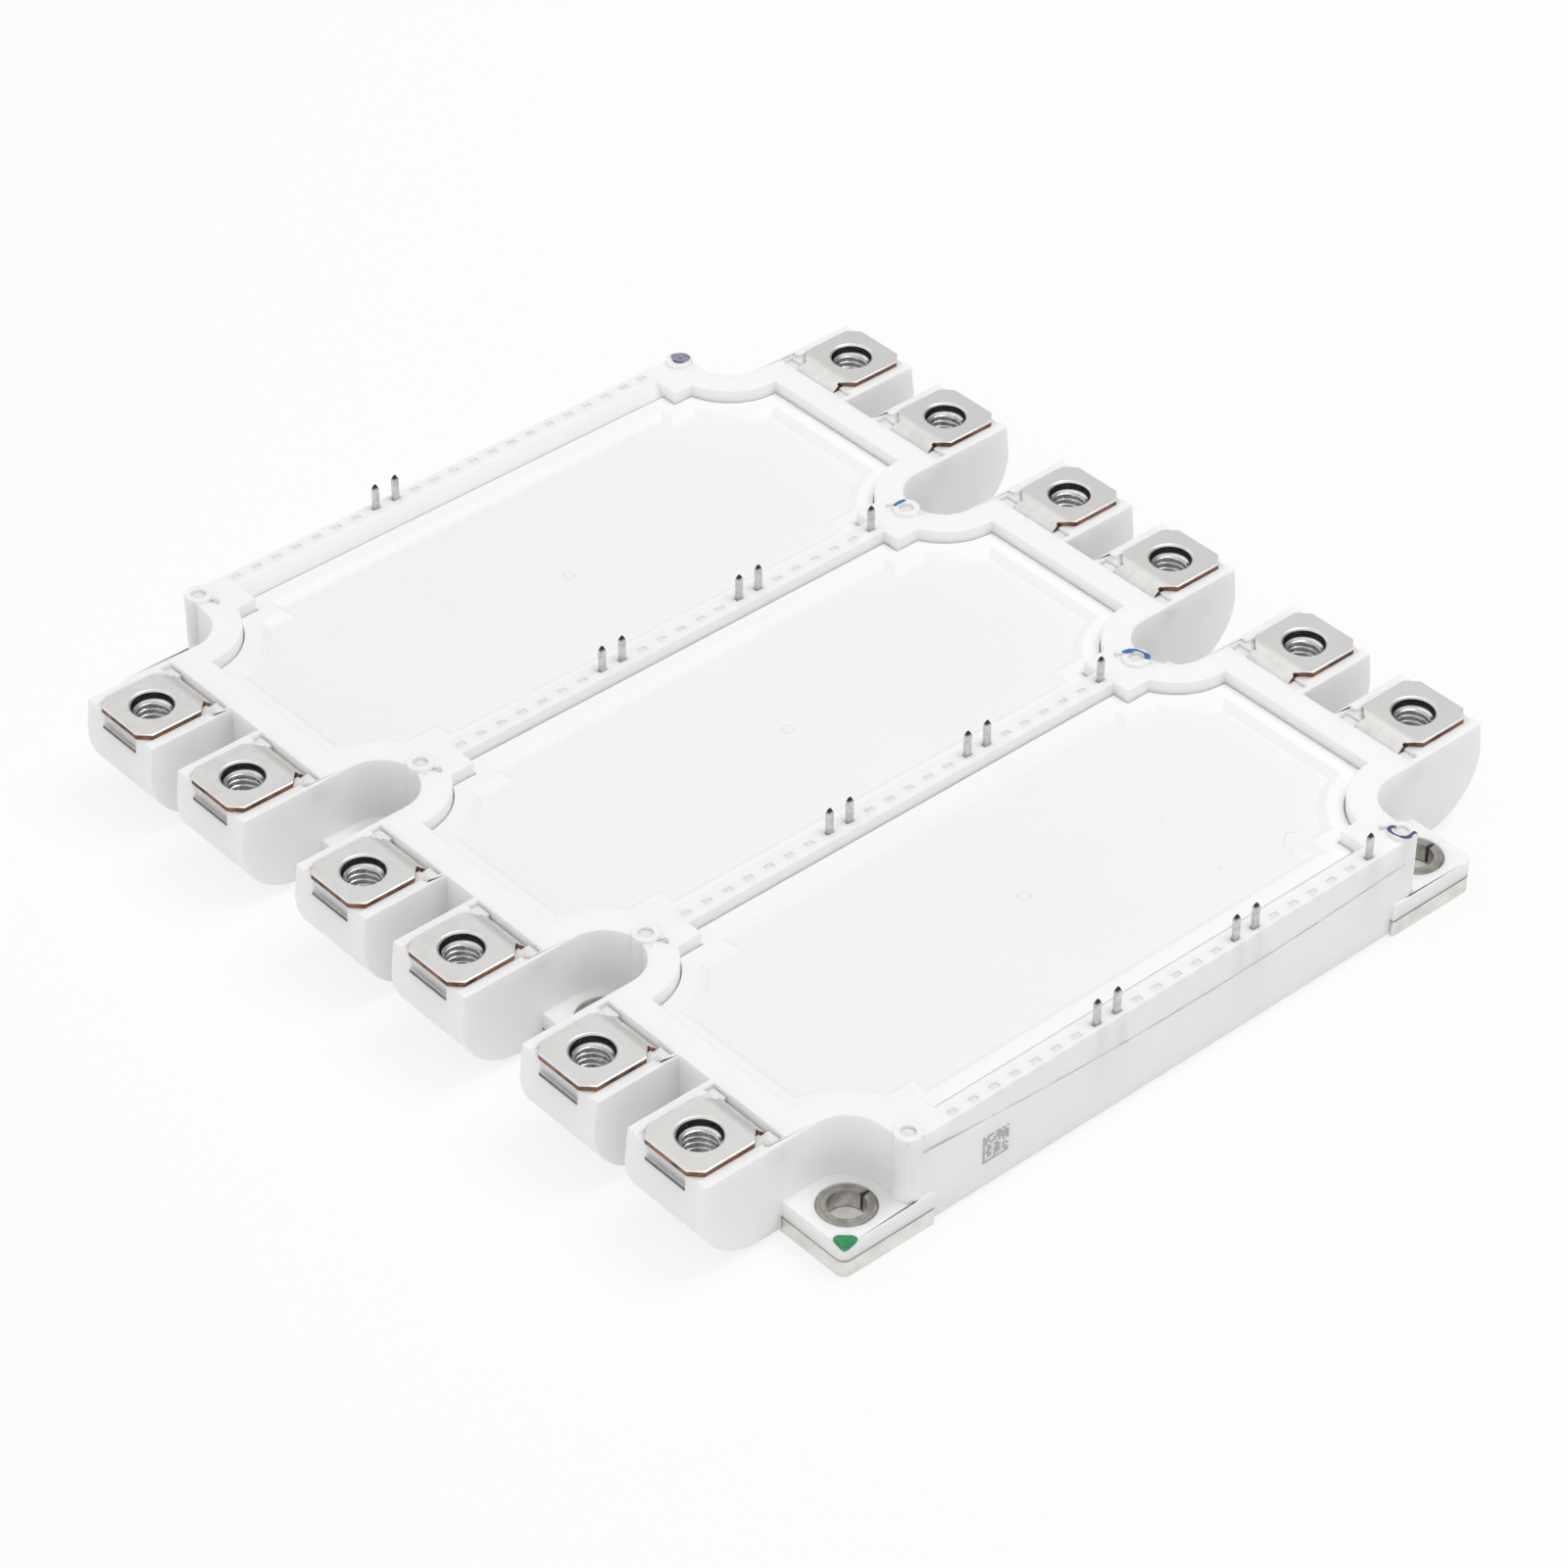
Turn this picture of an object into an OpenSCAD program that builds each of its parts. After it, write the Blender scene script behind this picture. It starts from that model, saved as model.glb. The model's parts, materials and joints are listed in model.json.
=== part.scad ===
// Flat power semiconductor module: three lidded sections in one moulded housing,
// screw terminals on blocks along both ends of every section, pin rows between the
// sections, bushed screw holes and a metal base plate.
// X runs across the three sections, Y along each section, Z up. The origin is the
// centre of the base plate's underside.

/* [Base plate] */
// Length of the base plate along X
base_l = 162; // [160:0.5:166]
// Width of the base plate along Y
base_w = 122; // [121:0.5:126]
// Thickness of the base plate
base_t = 3; // [2:0.5:5]
// Corner radius of the base plate
base_corner_r = 1.5; // [0.5:0.25:2.5]
// Length of each corner ear along Y
ear_l = 16.5; // [14:0.5:17]
// How far the long edges step in between the ears
ear_step = 2.4; // [1.6:0.1:3]

/* [Screw holes] */
// Clearance hole for the mounting screws
screw_d = 5.5; // [4.5:0.1:6]
// Wall of the rolled steel sleeve in each screw hole
bushing_wall = 1.55; // [1:0.05:1.7]
// Width of the slit in the rolled sleeve
bushing_slit = 0.5; // [0.2:0.1:1]
// Distance from the screw holes to the base plate's edges
mount_inset = 6; // [5.5:0.1:6.5]
// Thickness of the plastic flange around the sleeves
flange_t = 2.8; // [2:0.1:4]

/* [Sections] */
// Thickness of the walls between sections
divider_t = 3.6; // [3:0.1:4.2]
// Thickness of the outer walls at the lid
outer_wall_t = 4.9; // [4.4:0.1:5.6]
// Thickness of the outer walls at their top edge
outer_wall_top_t = 3; // [2.6:0.1:3.4]
// How far the outer walls stand back from the base plate's edge
wall_setback = 0.8; // [0.4:0.1:1.2]

/* [Housing] */
// Height of the housing's top edge over the base plate's underside
housing_h = 16.3; // [15.9:0.1:16.6]
// Height of the skirt's lower edge over the base plate's underside
skirt_z = 0.5; // [0.2:0.1:1.5]
// How far the end walls stand back from the base plate's edge
end_setback = 1; // [0.6:0.1:1.4]
// Thickness of the end walls beside the terminal straps
end_wall_t = 2.5; // [2:0.1:3]
// How far the lower part of the outer walls stands proud
belt_step = 0.25; // [0.1:0.05:0.5]
// Height of the belt line at its lowest point
belt_z = 10.7; // [9:0.1:12]
// Radius of the shallow arc that the belt line follows
belt_r = 507; // [400:1:900]
// Where the belt line is lowest, along Y
belt_low_y = 8; // [-10:1:20]

/* [Terminal blocks] */
// Distance from the base plate's edge out to the terminal holes
terminal_overhang = 7.5; // [7:0.1:8]
// Width of the screw bay between two sections' blocks
bay_w = 12.2; // [11:0.1:13]
// Gap between the two blocks of a section
block_gap = 6.2; // [5:0.1:7]
// Reach of each block beyond the terminal hole
block_reach = 6.5; // [6.2:0.1:7]
// Radius under the outer end of each block
block_toe_r = 10; // [8:0.5:11]
// Height of the block's underside over the base plate's underside
block_z = 0.9; // [0.5:0.1:1.5]
// How far the outer face leans in at its top
block_lean = 0.65; // [0.3:0.05:0.8]
// Width of the shallow window in the block's outer face
window_w = 8; // [6:0.5:10]
// Height of the shallow window under the terminal plate
window_h = 2.6; // [1.5:0.1:4]
// Depth of the shallow window in the block's outer face
window_depth = 0.4; // [0.2:0.1:0.6]
// Reach of the open pocket behind the strap's bend, from the strap's inner side
pocket_reach = 1.8; // [1.6:0.1:2]
// Wall of the block on each side of the open pocket
pocket_wall = 0.9; // [0.7:0.1:1.2]
// Diameter of the witness hole beside each terminal plate
witness_d = 0.9; // [0.6:0.1:1]

/* [Terminals] */
// How far the terminal's top face stands over the housing's top edge
terminal_rise = 0.7; // [0.5:0.1:0.9]
// Thickness of the terminal sheet
terminal_t = 1; // [0.8:0.1:1.2]
// Wall of the block on each side of the terminal plate
plate_side = 1.9; // [1.6:0.1:2.4]
// Distance from the hole to the plate's outer edge
terminal_out = 6; // [5.6:0.1:6.2]
// Distance from the hole to the start of the bend
terminal_in = 4.8; // [4.4:0.1:5]
// Chamfer at the plate's corners
terminal_chamfer = 1.8; // [1:0.1:2.2]
// Hole in the terminal plate
terminal_hole_d = 6.4; // [6:0.1:7]
// How far the strap is narrower than the plate on each side
strap_step = 1.8; // [1.5:0.1:2.5]
// Outer radius of the strap's bend
bend_r = 3.5; // [3:0.1:3.7]
// Width over the flats of the captive nut
nut_af = 10; // [9:0.1:10]
// Height of the captive nut
nut_h = 5; // [4:0.5:6]
// Bore of the captive nut
nut_bore = 5.2; // [4:0.1:5.5]
// Clearance around the captive nut
nut_gap = 0.1; // [0.05:0.05:0.15]
// Diameter of the relief hole under the nut
relief_d = 8; // [7.5:0.1:8.4]
// Depth of the relief hole under the nut
relief_h = 5; // [2:0.5:6]

/* [Control pins] */
// Distance between neighbouring pin places
pin_pitch = 3.81; // [3.7:0.01:3.9]
// How far the pin tips stand over the housing's top edge
pin_rise = 4.2; // [3:0.1:6]
// Width of a pin along Y
pin_w = 1; // [0.8:0.05:1.2]
// Thickness of a pin along X
pin_t = 0.65; // [0.5:0.05:0.7]
// Height of a pin's pointed tip
pin_tip = 0.7; // [0.4:0.1:1.2]
// Width of a pin slot along Y
slot_w = 1.5; // [1.35:0.05:1.8]
// Width of a pin slot along X
slot_t = 0.85; // [0.8:0.05:1]
// Depth of a pin slot
slot_h = 1.2; // [0.6:0.1:2]
// Distance from the outer wall's face to the outer pin rows
pin_row_inset = 1.17; // [1:0.05:1.3]

/* [Board posts] */
// Diameter of the screw posts
post_d = 4.2; // [3.8:0.1:4.6]
// Screw hole in the posts
post_hole_d = 2.2; // [1.6:0.1:2.4]
// Depth of the screw holes in the posts
post_hole_h = 8; // [4:0.5:9]
// Distance from the posts to the base plate's edges along Y
post_inset_y = 13.65; // [13:0.05:14]
// How far the posts stand over the housing's top edge
post_rise = 0.6; // [0.4:0.1:1]
// Distance from the outer wall's face to the outer posts' centres
post_inset = 1.73; // [1.6:0.05:2]

/* [Lids] */
// Clearance around each lid
lid_gap = 0.15; // [0.05:0.05:0.3]
// Thickness of each lid at its rim
lid_t = 2; // [1.6:0.1:2.4]
// How far the lid's rim lies under the housing's top edge
lid_drop = 2.1; // [1.6:0.1:2.4]
// How far the lid's panel lies under its rim
panel_drop = 1; // [0.4:0.1:1.2]
// Width of the lid's rim
rim_w = 2.6; // [2:0.1:3.2]
// Width of the slope from the rim to the panel
rim_slope = 1.3; // [0.8:0.1:2]
// Distance from the lid opening's ends to the base plate's edges
lid_end = 5.6; // [5.2:0.1:6]
// Radius of the lid's cut-out around each screw bay
lid_corner_r = 10.6; // [10:0.1:11.2]
// Width of the square step in each lid corner
lid_step_w = 2.9; // [2:0.1:3.4]
// Length of the square steps, from the base plate's edge line
lid_step_l = 19.8; // [18:0.2:21]
// Width of the ledge that carries each lid
ledge_w = 1.5; // [1:0.1:2]
// Height of the ledge that carries each lid
ledge_h = 1.5; // [1:0.1:2]
// Diameter of the moulding gate mark
gate_d = 1.8; // [1:0.1:2.4]

/* [Inside] */
// Height of the inner shelf over the base plate
shelf_h = 1.6; // [1.2:0.1:2]
// Width of the inner shelf along the side walls
shelf_w = 4; // [3.6:0.1:4.4]
// Distance from the floor opening's ends to the base plate's edges
floor_end = 12; // [11.6:0.1:12.5]
// Wall around each screw bay
bay_wall_t = 2.4; // [1.8:0.1:2.6]
// Clearance around the ceramic substrates in the floor opening
substrate_gap = 1.2; // [0.8:0.1:1.6]
// Thickness of the ceramic substrates
substrate_t = 0.7; // [0.5:0.1:1]
// Thickness of the copper circuit on the substrates
circuit_t = 0.3; // [0.2:0.05:0.4]
// Thickness of the chips
chip_t = 0.3; // [0.2:0.05:0.5]
// Diameter of the bond wires
wire_d = 0.5; // [0.3:0.05:0.6]
// How far the soft filling's surface lies under the lid's ledge
gel_drop = 0.8; // [0.4:0.1:1.2]

/* [Hidden] */
$fn = 48;
eps = 0.01;
fit = 0.05;
over = 5;

section_ids = [-1, 0, 1];
sides = [-1, 1];
base_x = base_l / 2;
base_y = base_w / 2;
// The sections share the length between the outer screw holes
section_pitch = (base_l - 2 * mount_inset) / 3;
block_w = (section_pitch - bay_w - block_gap) / 2;
terminal_pitch = block_w + block_gap;
terminal_w = block_w - 2 * plate_side;
strap_w = terminal_w - 2 * strap_step;
wall_x = base_x - wall_setback;
wall_y = base_y - end_setback;
ear_y = base_y - ear_l;
notch_x = base_x - ear_step;
flange_z = base_t + flange_t;
mount_y = base_y - mount_inset;
mount_xs = [-1.5, -0.5, 0.5, 1.5] * section_pitch;
bushing_d = screw_d + 2 * bushing_wall;
terminal_y = base_y + terminal_overhang;
terminal_x = terminal_pitch / 2;
bay_r = bay_w / 2;
block_y = terminal_y + block_reach;
pin_count = 22;
pin_row_x = [-wall_x + pin_row_inset, -section_pitch / 2, section_pitch / 2, wall_x - pin_row_inset];
post_xs = [-wall_x + post_inset, -section_pitch / 2, section_pitch / 2, wall_x - post_inset];
post_y = base_y - post_inset_y;

// Levels counted from the housing's top edge
terminal_z = housing_h + terminal_rise;
post_z = housing_h + post_rise;
pin_z = housing_h + pin_rise;
rim_z = housing_h - lid_drop;
panel_z = rim_z - panel_drop;
seat_z = rim_z - lid_t;
ledge_z = seat_z - ledge_h;

// Inner levels, counted from the base plate's top
shelf_z = base_t + shelf_h;
circuit_z = base_t + substrate_t + circuit_t;
chip_z = circuit_z + chip_t;
gel_z = ledge_z - gel_drop;
cavity_y = wall_y - end_wall_t;
lid_half_l = base_y - lid_end;
lid_step_y = base_y - lid_step_l;
floor_half_l = base_y - floor_end;

// Terminal strap: its leg lies just outside the end wall
plate_z = terminal_z - terminal_t;
leg_y = terminal_y - terminal_in - bend_r;
foot_y = floor_half_l + 0.8;
bend_z = terminal_z - bend_r;
nut_floor_z = plate_z - nut_h - nut_gap;

// Pin places in use, counted from the -Y end, for each row
pins_used = [[8, 9], [8, 9, 15, 16, 22], [8, 9, 15, 16, 22], [8, 9, 15, 16, 22]];
// The section side that each row's pins reach into
pin_reach = [1, -1, -1, -1];
// The section that each row's pins belong to
pin_section = [-1, -1, 0, 1];

// Substrates, with their circuit pads: [x low, x high, y low, y high]
substrate_w = section_pitch - divider_t - 2 * shelf_w - 2 * substrate_gap;
substrate_split = 1.5;
substrate_l = floor_half_l - substrate_split / 2 - 1.75;
substrate_y = (substrate_l + substrate_split) / 2;
half_w = substrate_w / 2;
pad_edge = substrate_l / 2 - 1;
main_pad = [4.5 - half_w, half_w - 14];
pads = [
    [main_pad[0], main_pad[1], -pad_edge, -0.5], [main_pad[0], main_pad[1], 0.5, pad_edge],
    [half_w - 13, half_w - 4.3, -pad_edge, pad_edge],
    [half_w - 3.5, half_w - 1, -pad_edge, -0.5], [half_w - 3.5, half_w - 1, 0.5, pad_edge],
    [1 - half_w, 3.7 - half_w, -pad_edge, 6.2], [1 - half_w, 3.7 - half_w, 7, 12],
    [1 - half_w, 3.7 - half_w, 12.8, pad_edge]
];
function pad_mid(k) = (pads[k][0] + pads[k][1]) / 2;

// Chips, which share the main pad
chip_margin = 0.5;
switch_chip_w = (substrate_w - 17) / 2;
diode_chip_w = switch_chip_w - 4;
diode_chip_l = switch_chip_w - 1.5;
chip_rows = [-1, 1] * (substrate_l / 4 - 0.625);
switch_x = main_pad[0] + chip_margin + switch_chip_w / 2;
diode_x = main_pad[1] - chip_margin - diode_chip_w / 2;
wire_rows = [-1, 1] * strap_w / 4;
sensor_size = [1.6, 2.4, 0.9];
sensor_at = [pad_mid(5), 12.4];

// A box between two opposite corners
module box(a, b) {
    translate(a) cube(b - a);
}

// A profile drawn in X and Z, run along Y
module along_y(y0, y1) {
    translate([0, y1, 0]) rotate([90, 0, 0]) linear_extrude(y1 - y0) children();
}

// A profile drawn in Y and Z, run along X
module along_x(x0, x1) {
    translate([x0, 0, 0]) rotate([90, 0, 90]) linear_extrude(x1 - x0) children();
}

function section_x(s) = s * section_pitch;
// Inner faces of a section's side walls at the lid
function low_x(s) = s == -1 ? -wall_x + outer_wall_t : section_x(s) - section_pitch / 2 + divider_t / 2;
function high_x(s) = -low_x(-s);
function side_x(s, side) = side < 0 ? low_x(s) : high_x(s);
function place_y(n) = (n - (pin_count + 1) / 2) * pin_pitch;

// ---------------------------------------------------------------- base plate

// The rounded rectangle of the base plate and of the flanges over it
module plate_outline() {
    r = base_corner_r;
    square([base_l - 2 * r, base_w], center = true);
    square([base_l, base_w - 2 * r], center = true);
    for (x = sides, y = sides) translate([x * (base_x - r), y * (base_y - r)]) circle(r);
}

module base_outline() {
    difference() {
        plate_outline();
        for (x = sides) translate([x * (notch_x + over / 2), 0]) square([over, 2 * ear_y], center = true);
    }
}

module base_plate() {
    color("silver") difference() {
        linear_extrude(base_t) base_outline();
        for (x = mount_xs, y = sides) translate([x, y * mount_y, -1]) cylinder(h = base_t + 2, d = screw_d);
    }
}

// ------------------------------------------------------------------ bushings

module bushing() {
    lip = 0.35;
    difference() {
        union() {
            cylinder(h = flange_t - lip, d = bushing_d);
            translate([0, 0, flange_t - lip]) cylinder(h = lip, d1 = bushing_d, d2 = bushing_d - 2 * lip);
        }
        translate([0, 0, -1]) cylinder(h = flange_t + 2, d = screw_d);
        translate([-bushing_slit / 2, 0, -1]) cube([bushing_slit, bushing_d, flange_t + 2]);
    }
}

module bushings() {
    color("dimgray") for (x = mount_xs, y = sides) translate([x, y * mount_y, base_t]) bushing();
}

// --------------------------------------------------------------------- frame

// The screw bay around one screw hole, open towards the outside
module bay_outline(x, y) {
    out_x = abs(x) > section_pitch ? sign(x) : 0;
    reach = base_l;
    translate([x, y]) circle(bay_r);
    if (out_x == 0) translate([x - bay_r, y > 0 ? y : y - reach]) square([2 * bay_r, reach]);
    if (out_x != 0) {
        translate([out_x > 0 ? x - bay_r : x + bay_r - reach, y > 0 ? y : y - reach]) square(reach);
        translate([out_x > 0 ? x : x - reach, y > 0 ? y - bay_r : y + bay_r - reach]) square(reach);
    }
}

// The lid's corner cut-outs, grown by an amount
module corner_outline(s, grow) {
    for (side = sides, y = sides) {
        translate([section_x(s) + side * section_pitch / 2, y * mount_y]) circle(lid_corner_r + grow);
        w = lid_step_w + grow;
        x = side_x(s, side) - (side < 0 ? over : w);
        h = base_y - lid_step_y + grow;
        translate([x, y > 0 ? lid_step_y - grow : grow - lid_step_y - h]) square([w + over, h]);
    }
}

// The lid opening of a section, smaller by an amount
module lid_outline(s, inset) {
    difference() {
        translate([low_x(s) + inset, inset - lid_half_l])
            square([high_x(s) - low_x(s) - 2 * inset, 2 * (lid_half_l - inset)]);
        corner_outline(s, inset);
    }
}

// The outer walls lean back above the lid
module outer_lean(side) {
    inner = wall_x - outer_wall_t;
    difference() {
        mirror([side < 0 ? 1 : 0, 0, 0]) along_y(-lid_half_l, lid_half_l)
            polygon([[inner - 1, rim_z], [inner, rim_z], [wall_x - outer_wall_top_t, housing_h],
                [wall_x - outer_wall_top_t, housing_h + 1], [inner - 1, housing_h + 1]]);
        translate([0, 0, ledge_z]) linear_extrude(housing_h) corner_outline(side, 0);
    }
}

// The hollow of a section: lid opening, ledge, cavity and floor opening
module section_hollow(s) {
    translate([0, 0, seat_z]) linear_extrude(over) lid_outline(s, 0);
    translate([0, 0, ledge_z - eps]) linear_extrude(over) lid_outline(s, ledge_w);
    translate([0, 0, shelf_z]) linear_extrude(ledge_z - shelf_z) cavity_outline(s);
    translate([0, 0, -over]) linear_extrude(over + shelf_z + eps) floor_outline(s);
}

module cavity_outline(s) {
    difference() {
        translate([low_x(s), -cavity_y]) square([high_x(s) - low_x(s), 2 * cavity_y]);
        for (side = sides, y = sides) translate([section_x(s) + side * section_pitch / 2, y * mount_y])
            circle(bay_r + bay_wall_t);
    }
}

module floor_outline(s) {
    intersection() {
        cavity_outline(s);
        translate([low_x(s) + shelf_w, -floor_half_l])
            square([high_x(s) - low_x(s) - 2 * shelf_w, 2 * floor_half_l]);
    }
}

// One terminal block seen from its side, in Y and Z
module block_profile() {
    toe_y = block_y - block_toe_r;
    toe_z = block_z + block_toe_r;
    polygon([[wall_y - over, base_t], [base_y + fit, base_t], [base_y + fit, block_z], [toe_y, block_z],
        [toe_y, toe_z], [block_y, toe_z], [block_y - block_lean, housing_h], [wall_y - over, housing_h]]);
    intersection() {
        translate([toe_y, toe_z]) circle(block_toe_r, $fn = 96);
        translate([toe_y, block_z]) square(block_toe_r);
    }
}

module block() {
    along_x(-block_w / 2, block_w / 2) block_profile();
}

// What a terminal block is cut for: plate, strap, nut, screw end, window
module block_cuts() {
    seat_w = terminal_w / 2 + fit;
    box([-seat_w, wall_y, plate_z], [seat_w, block_y + 1, housing_h + 1]);
    // open pocket behind the strap's bend
    pocket_w = block_w / 2 - pocket_wall;
    pocket_floor = bend_z - 0.6;
    box([-pocket_w, wall_y, pocket_floor], [pocket_w, leg_y + pocket_reach, housing_h + 1]);
    // channel of the leg and of the foot
    leg_w = strap_w / 2 + fit;
    box([-leg_w, leg_y - fit, shelf_z], [leg_w, leg_y + terminal_t + fit, plate_z]);
    box([-leg_w, leg_y, bend_z], [leg_w, terminal_y - terminal_in, plate_z + eps]);
    box([-leg_w, cavity_y - 1, shelf_z], [leg_w, leg_y + terminal_t + fit, shelf_z + terminal_t + fit]);
    translate([0, terminal_y, nut_floor_z])
        cylinder(h = housing_h, d = (nut_af + 2 * nut_gap) / cos(30), $fn = 6);
    translate([0, terminal_y, nut_floor_z - relief_h]) cylinder(h = relief_h + 1, d = relief_d);
    window_y = block_y - block_lean - window_depth;
    box([-window_w / 2, window_y, plate_z - window_h], [window_w / 2, block_y + 1, housing_h + 1]);
    // small witness hole beside the plate
    translate([-terminal_w / 2 - 0.65, terminal_y - terminal_out + 0.2, plate_z - 1])
        cylinder(h = 3, d = witness_d);
}

// Puts a copy at every terminal; the +Y row is the -Y row turned half round
module at_terminal(n) {
    row = n <= 6 ? 1 : -1;
    k = (n - 1) % 6;
    x = section_x(floor(k / 2) - 1) + (k % 2 == 0 ? -1 : 1) * terminal_x;
    rotate(row > 0 ? 180 : 0) translate([row > 0 ? -x : x, 0, 0]) children();
}

module shell_outside() {
    difference() {
        union() {
            box([-wall_x, -wall_y, base_t], [wall_x, wall_y, housing_h]);
            outer_belts();
        }
        for (x = mount_xs, y = sides) translate([0, 0, flange_z]) linear_extrude(housing_h)
            bay_outline(x, y * mount_y);
    }
}

// The lower, proud part of the outer walls and the skirt around the base plate
module outer_belts() {
    belt_x = wall_x + belt_step;
    for (side = sides) rotate(side > 0 ? 0 : 180) {
        difference() {
            box([wall_x - 1, -post_y, base_t], [belt_x, post_y, housing_h]);
            translate([0, belt_low_y, belt_z + belt_r]) rotate([0, 90, 0]) cylinder(h = base_l, r = belt_r, $fn = 360);
        }
        box([notch_x + fit, -ear_y + fit, skirt_z], [belt_x, ear_y - fit, base_t]);
    }
}

// The plastic flanges that hold the sleeves
module flanges() {
    translate([0, 0, base_t]) linear_extrude(flange_t) intersection() {
        union() {
            for (x = mount_xs, y = sides) bay_outline(x, y * mount_y);
            for (x = sides, y = sides) translate([x * base_x, y * (ear_y + over / 2)])
                square([2 * (base_x - wall_x) + 2, over], center = true);
        }
        plate_outline();
    }
}

module frame() {
    color("whitesmoke") difference() {
        union() {
            shell_outside();
            flanges();
            for (n = [1:12]) at_terminal(n) block();
            for (x = post_xs, y = sides) translate([x, y * post_y, base_t])
                cylinder(h = post_z - base_t, d = post_d);
        }
        for (s = section_ids) section_hollow(s);
        for (side = sides) outer_lean(side);
        for (n = [1:12]) at_terminal(n) block_cuts();
        for (x = mount_xs, y = sides) translate([x, y * mount_y, 0]) cylinder(h = flange_z + 1, d = bushing_d);
        for (x = post_xs, y = sides) translate([x, y * post_y, post_z - post_hole_h])
            cylinder(h = post_hole_h + 1, d = post_hole_d);
        post_notches();
        pin_slots();
    }
}

// A small three-cornered recess beside each post
module post_notches() {
    depth = 1.2;
    long = 1.4;
    for (x = post_xs, y = sides) translate([x, y * post_y, housing_h - depth]) rotate(y < 0 ? 0 : 180)
        translate([post_d / 2, long / 3]) linear_extrude(2 * depth)
            polygon([[0, 0], [long, long / 2], [long / 3, long]]);
}

module pin_slots() {
    for (row = [0:3], n = [1:pin_count]) translate([pin_row_x[row], place_y(n), housing_h - slot_h])
        translate([-slot_t / 2, -slot_w / 2, 0]) cube([slot_t, slot_w, over]);
    for (row = [0:3], n = pins_used[row]) translate([pin_row_x[row], place_y(n), 0]) {
        box([-pin_t / 2 - fit, -pin_w / 2 - fit, shelf_z], [pin_t / 2 + fit, pin_w / 2 + fit, housing_h]);
        mirror([pin_reach[row] < 0 ? 1 : 0, 0, 0])
            box([0, -pin_w / 2 - fit, shelf_z], [pin_foot(row), pin_w / 2 + fit, shelf_z + pin_t + fit]);
    }
}

// ---------------------------------------------------------------------- lids

module lid(s) {
    color("gainsboro") difference() {
        translate([0, 0, seat_z]) linear_extrude(lid_t) lid_outline(s, lid_gap);
        lid_pan(s);
        translate([section_x(s) + 0.7, 0.3, panel_z - 0.15]) cylinder(h = 1, d = gate_d);
    }
}

// The sunk panel of a lid, with sloping sides
module lid_pan(s) {
    rim = lid_gap + rim_w;
    foot = rim + rim_slope;
    top = rim_z + 1;
    difference() {
        intersection() {
            along_y(-base_y, base_y)
                polygon([[low_x(s) + foot, panel_z], [high_x(s) - foot, panel_z], [high_x(s) - rim, rim_z],
                    [high_x(s) - rim, top], [low_x(s) + rim, top], [low_x(s) + rim, rim_z]]);
            along_x(-base_x, base_x)
                polygon([[foot - lid_half_l, panel_z], [lid_half_l - foot, panel_z], [lid_half_l - rim, rim_z],
                    [lid_half_l - rim, top], [rim - lid_half_l, top], [rim - lid_half_l, rim_z]]);
        }
        for (side = sides, y = sides) {
            translate([section_x(s) + side * section_pitch / 2, y * mount_y, panel_z]) {
                cylinder(h = panel_drop, r1 = lid_corner_r + foot, r2 = lid_corner_r + rim);
                cylinder(h = panel_drop + 2, r = lid_corner_r + rim);
            }
            step_ramp(s, side, y, rim, foot);
        }
    }
}

// The square step in a lid corner, with sloping sides
module step_ramp(s, side, y, rim, foot) {
    x = abs(side_x(s, side) - section_x(s)) - lid_step_w;
    translate([section_x(s), 0, 0]) mirror([side < 0 ? 1 : 0, 0, 0]) mirror([0, y < 0 ? 1 : 0, 0])
        intersection() {
            along_y(0, base_y) polygon([[x - foot, panel_z], [x - rim, rim_z], [x - rim, rim_z + 2],
                [x + base_x, rim_z + 2], [x + base_x, panel_z]]);
            along_x(0, base_x) polygon([[lid_step_y - foot, panel_z], [lid_step_y - rim, rim_z],
                [lid_step_y - rim, rim_z + 2], [base_y, rim_z + 2], [base_y, panel_z]]);
        }
}

// ----------------------------------------------------------------- terminals

module terminal() {
    c = terminal_chamfer;
    w = terminal_w / 2;
    y_in = terminal_y - terminal_in;
    y_out = terminal_y + terminal_out;
    difference() {
        translate([0, 0, plate_z]) linear_extrude(terminal_t)
            polygon([[-strap_w / 2, y_in], [strap_w / 2, y_in], [w, y_in + c], [w, y_out - c], [w - c, y_out],
                [c - w, y_out], [-w, y_out - c], [-w, y_in + c]]);
        translate([0, terminal_y, plate_z - 1]) cylinder(h = terminal_t + 2, d = terminal_hole_d);
    }
    // bend from the plate down into the leg
    along_x(-strap_w / 2, strap_w / 2) intersection() {
        translate([y_in, bend_z]) difference() {
            circle(bend_r, $fn = 64);
            circle(bend_r - terminal_t, $fn = 64);
        }
        translate([leg_y, bend_z]) square(bend_r);
    }
    box([-strap_w / 2, leg_y, shelf_z], [strap_w / 2, leg_y + terminal_t, bend_z]);
    box([-strap_w / 2, foot_y, shelf_z], [strap_w / 2, leg_y + terminal_t, shelf_z + terminal_t]);
}

module terminal_nuts() {
    color("lightgray") for (n = [1:12]) at_terminal(n) translate([0, terminal_y, nut_floor_z]) difference() {
        cylinder(h = nut_h, d = nut_af / cos(30), $fn = 6);
        translate([0, 0, -1]) cylinder(h = nut_h + 2, d = nut_bore);
        translate([0, 0, nut_h - 0.6]) cylinder(h = 0.7, d1 = nut_bore, d2 = nut_bore + 1.4);
    }
}

// -------------------------------------------------------------- control pins

// Length of a pin's foot, from the row to its end over the shelf
function pin_foot(row) =
    abs(pin_row_x[row] - side_x(pin_section[row], -pin_reach[row])) + shelf_w - 0.5;
pin_list = [for (row = [0:3], n = pins_used[row]) [row, n]];

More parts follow.
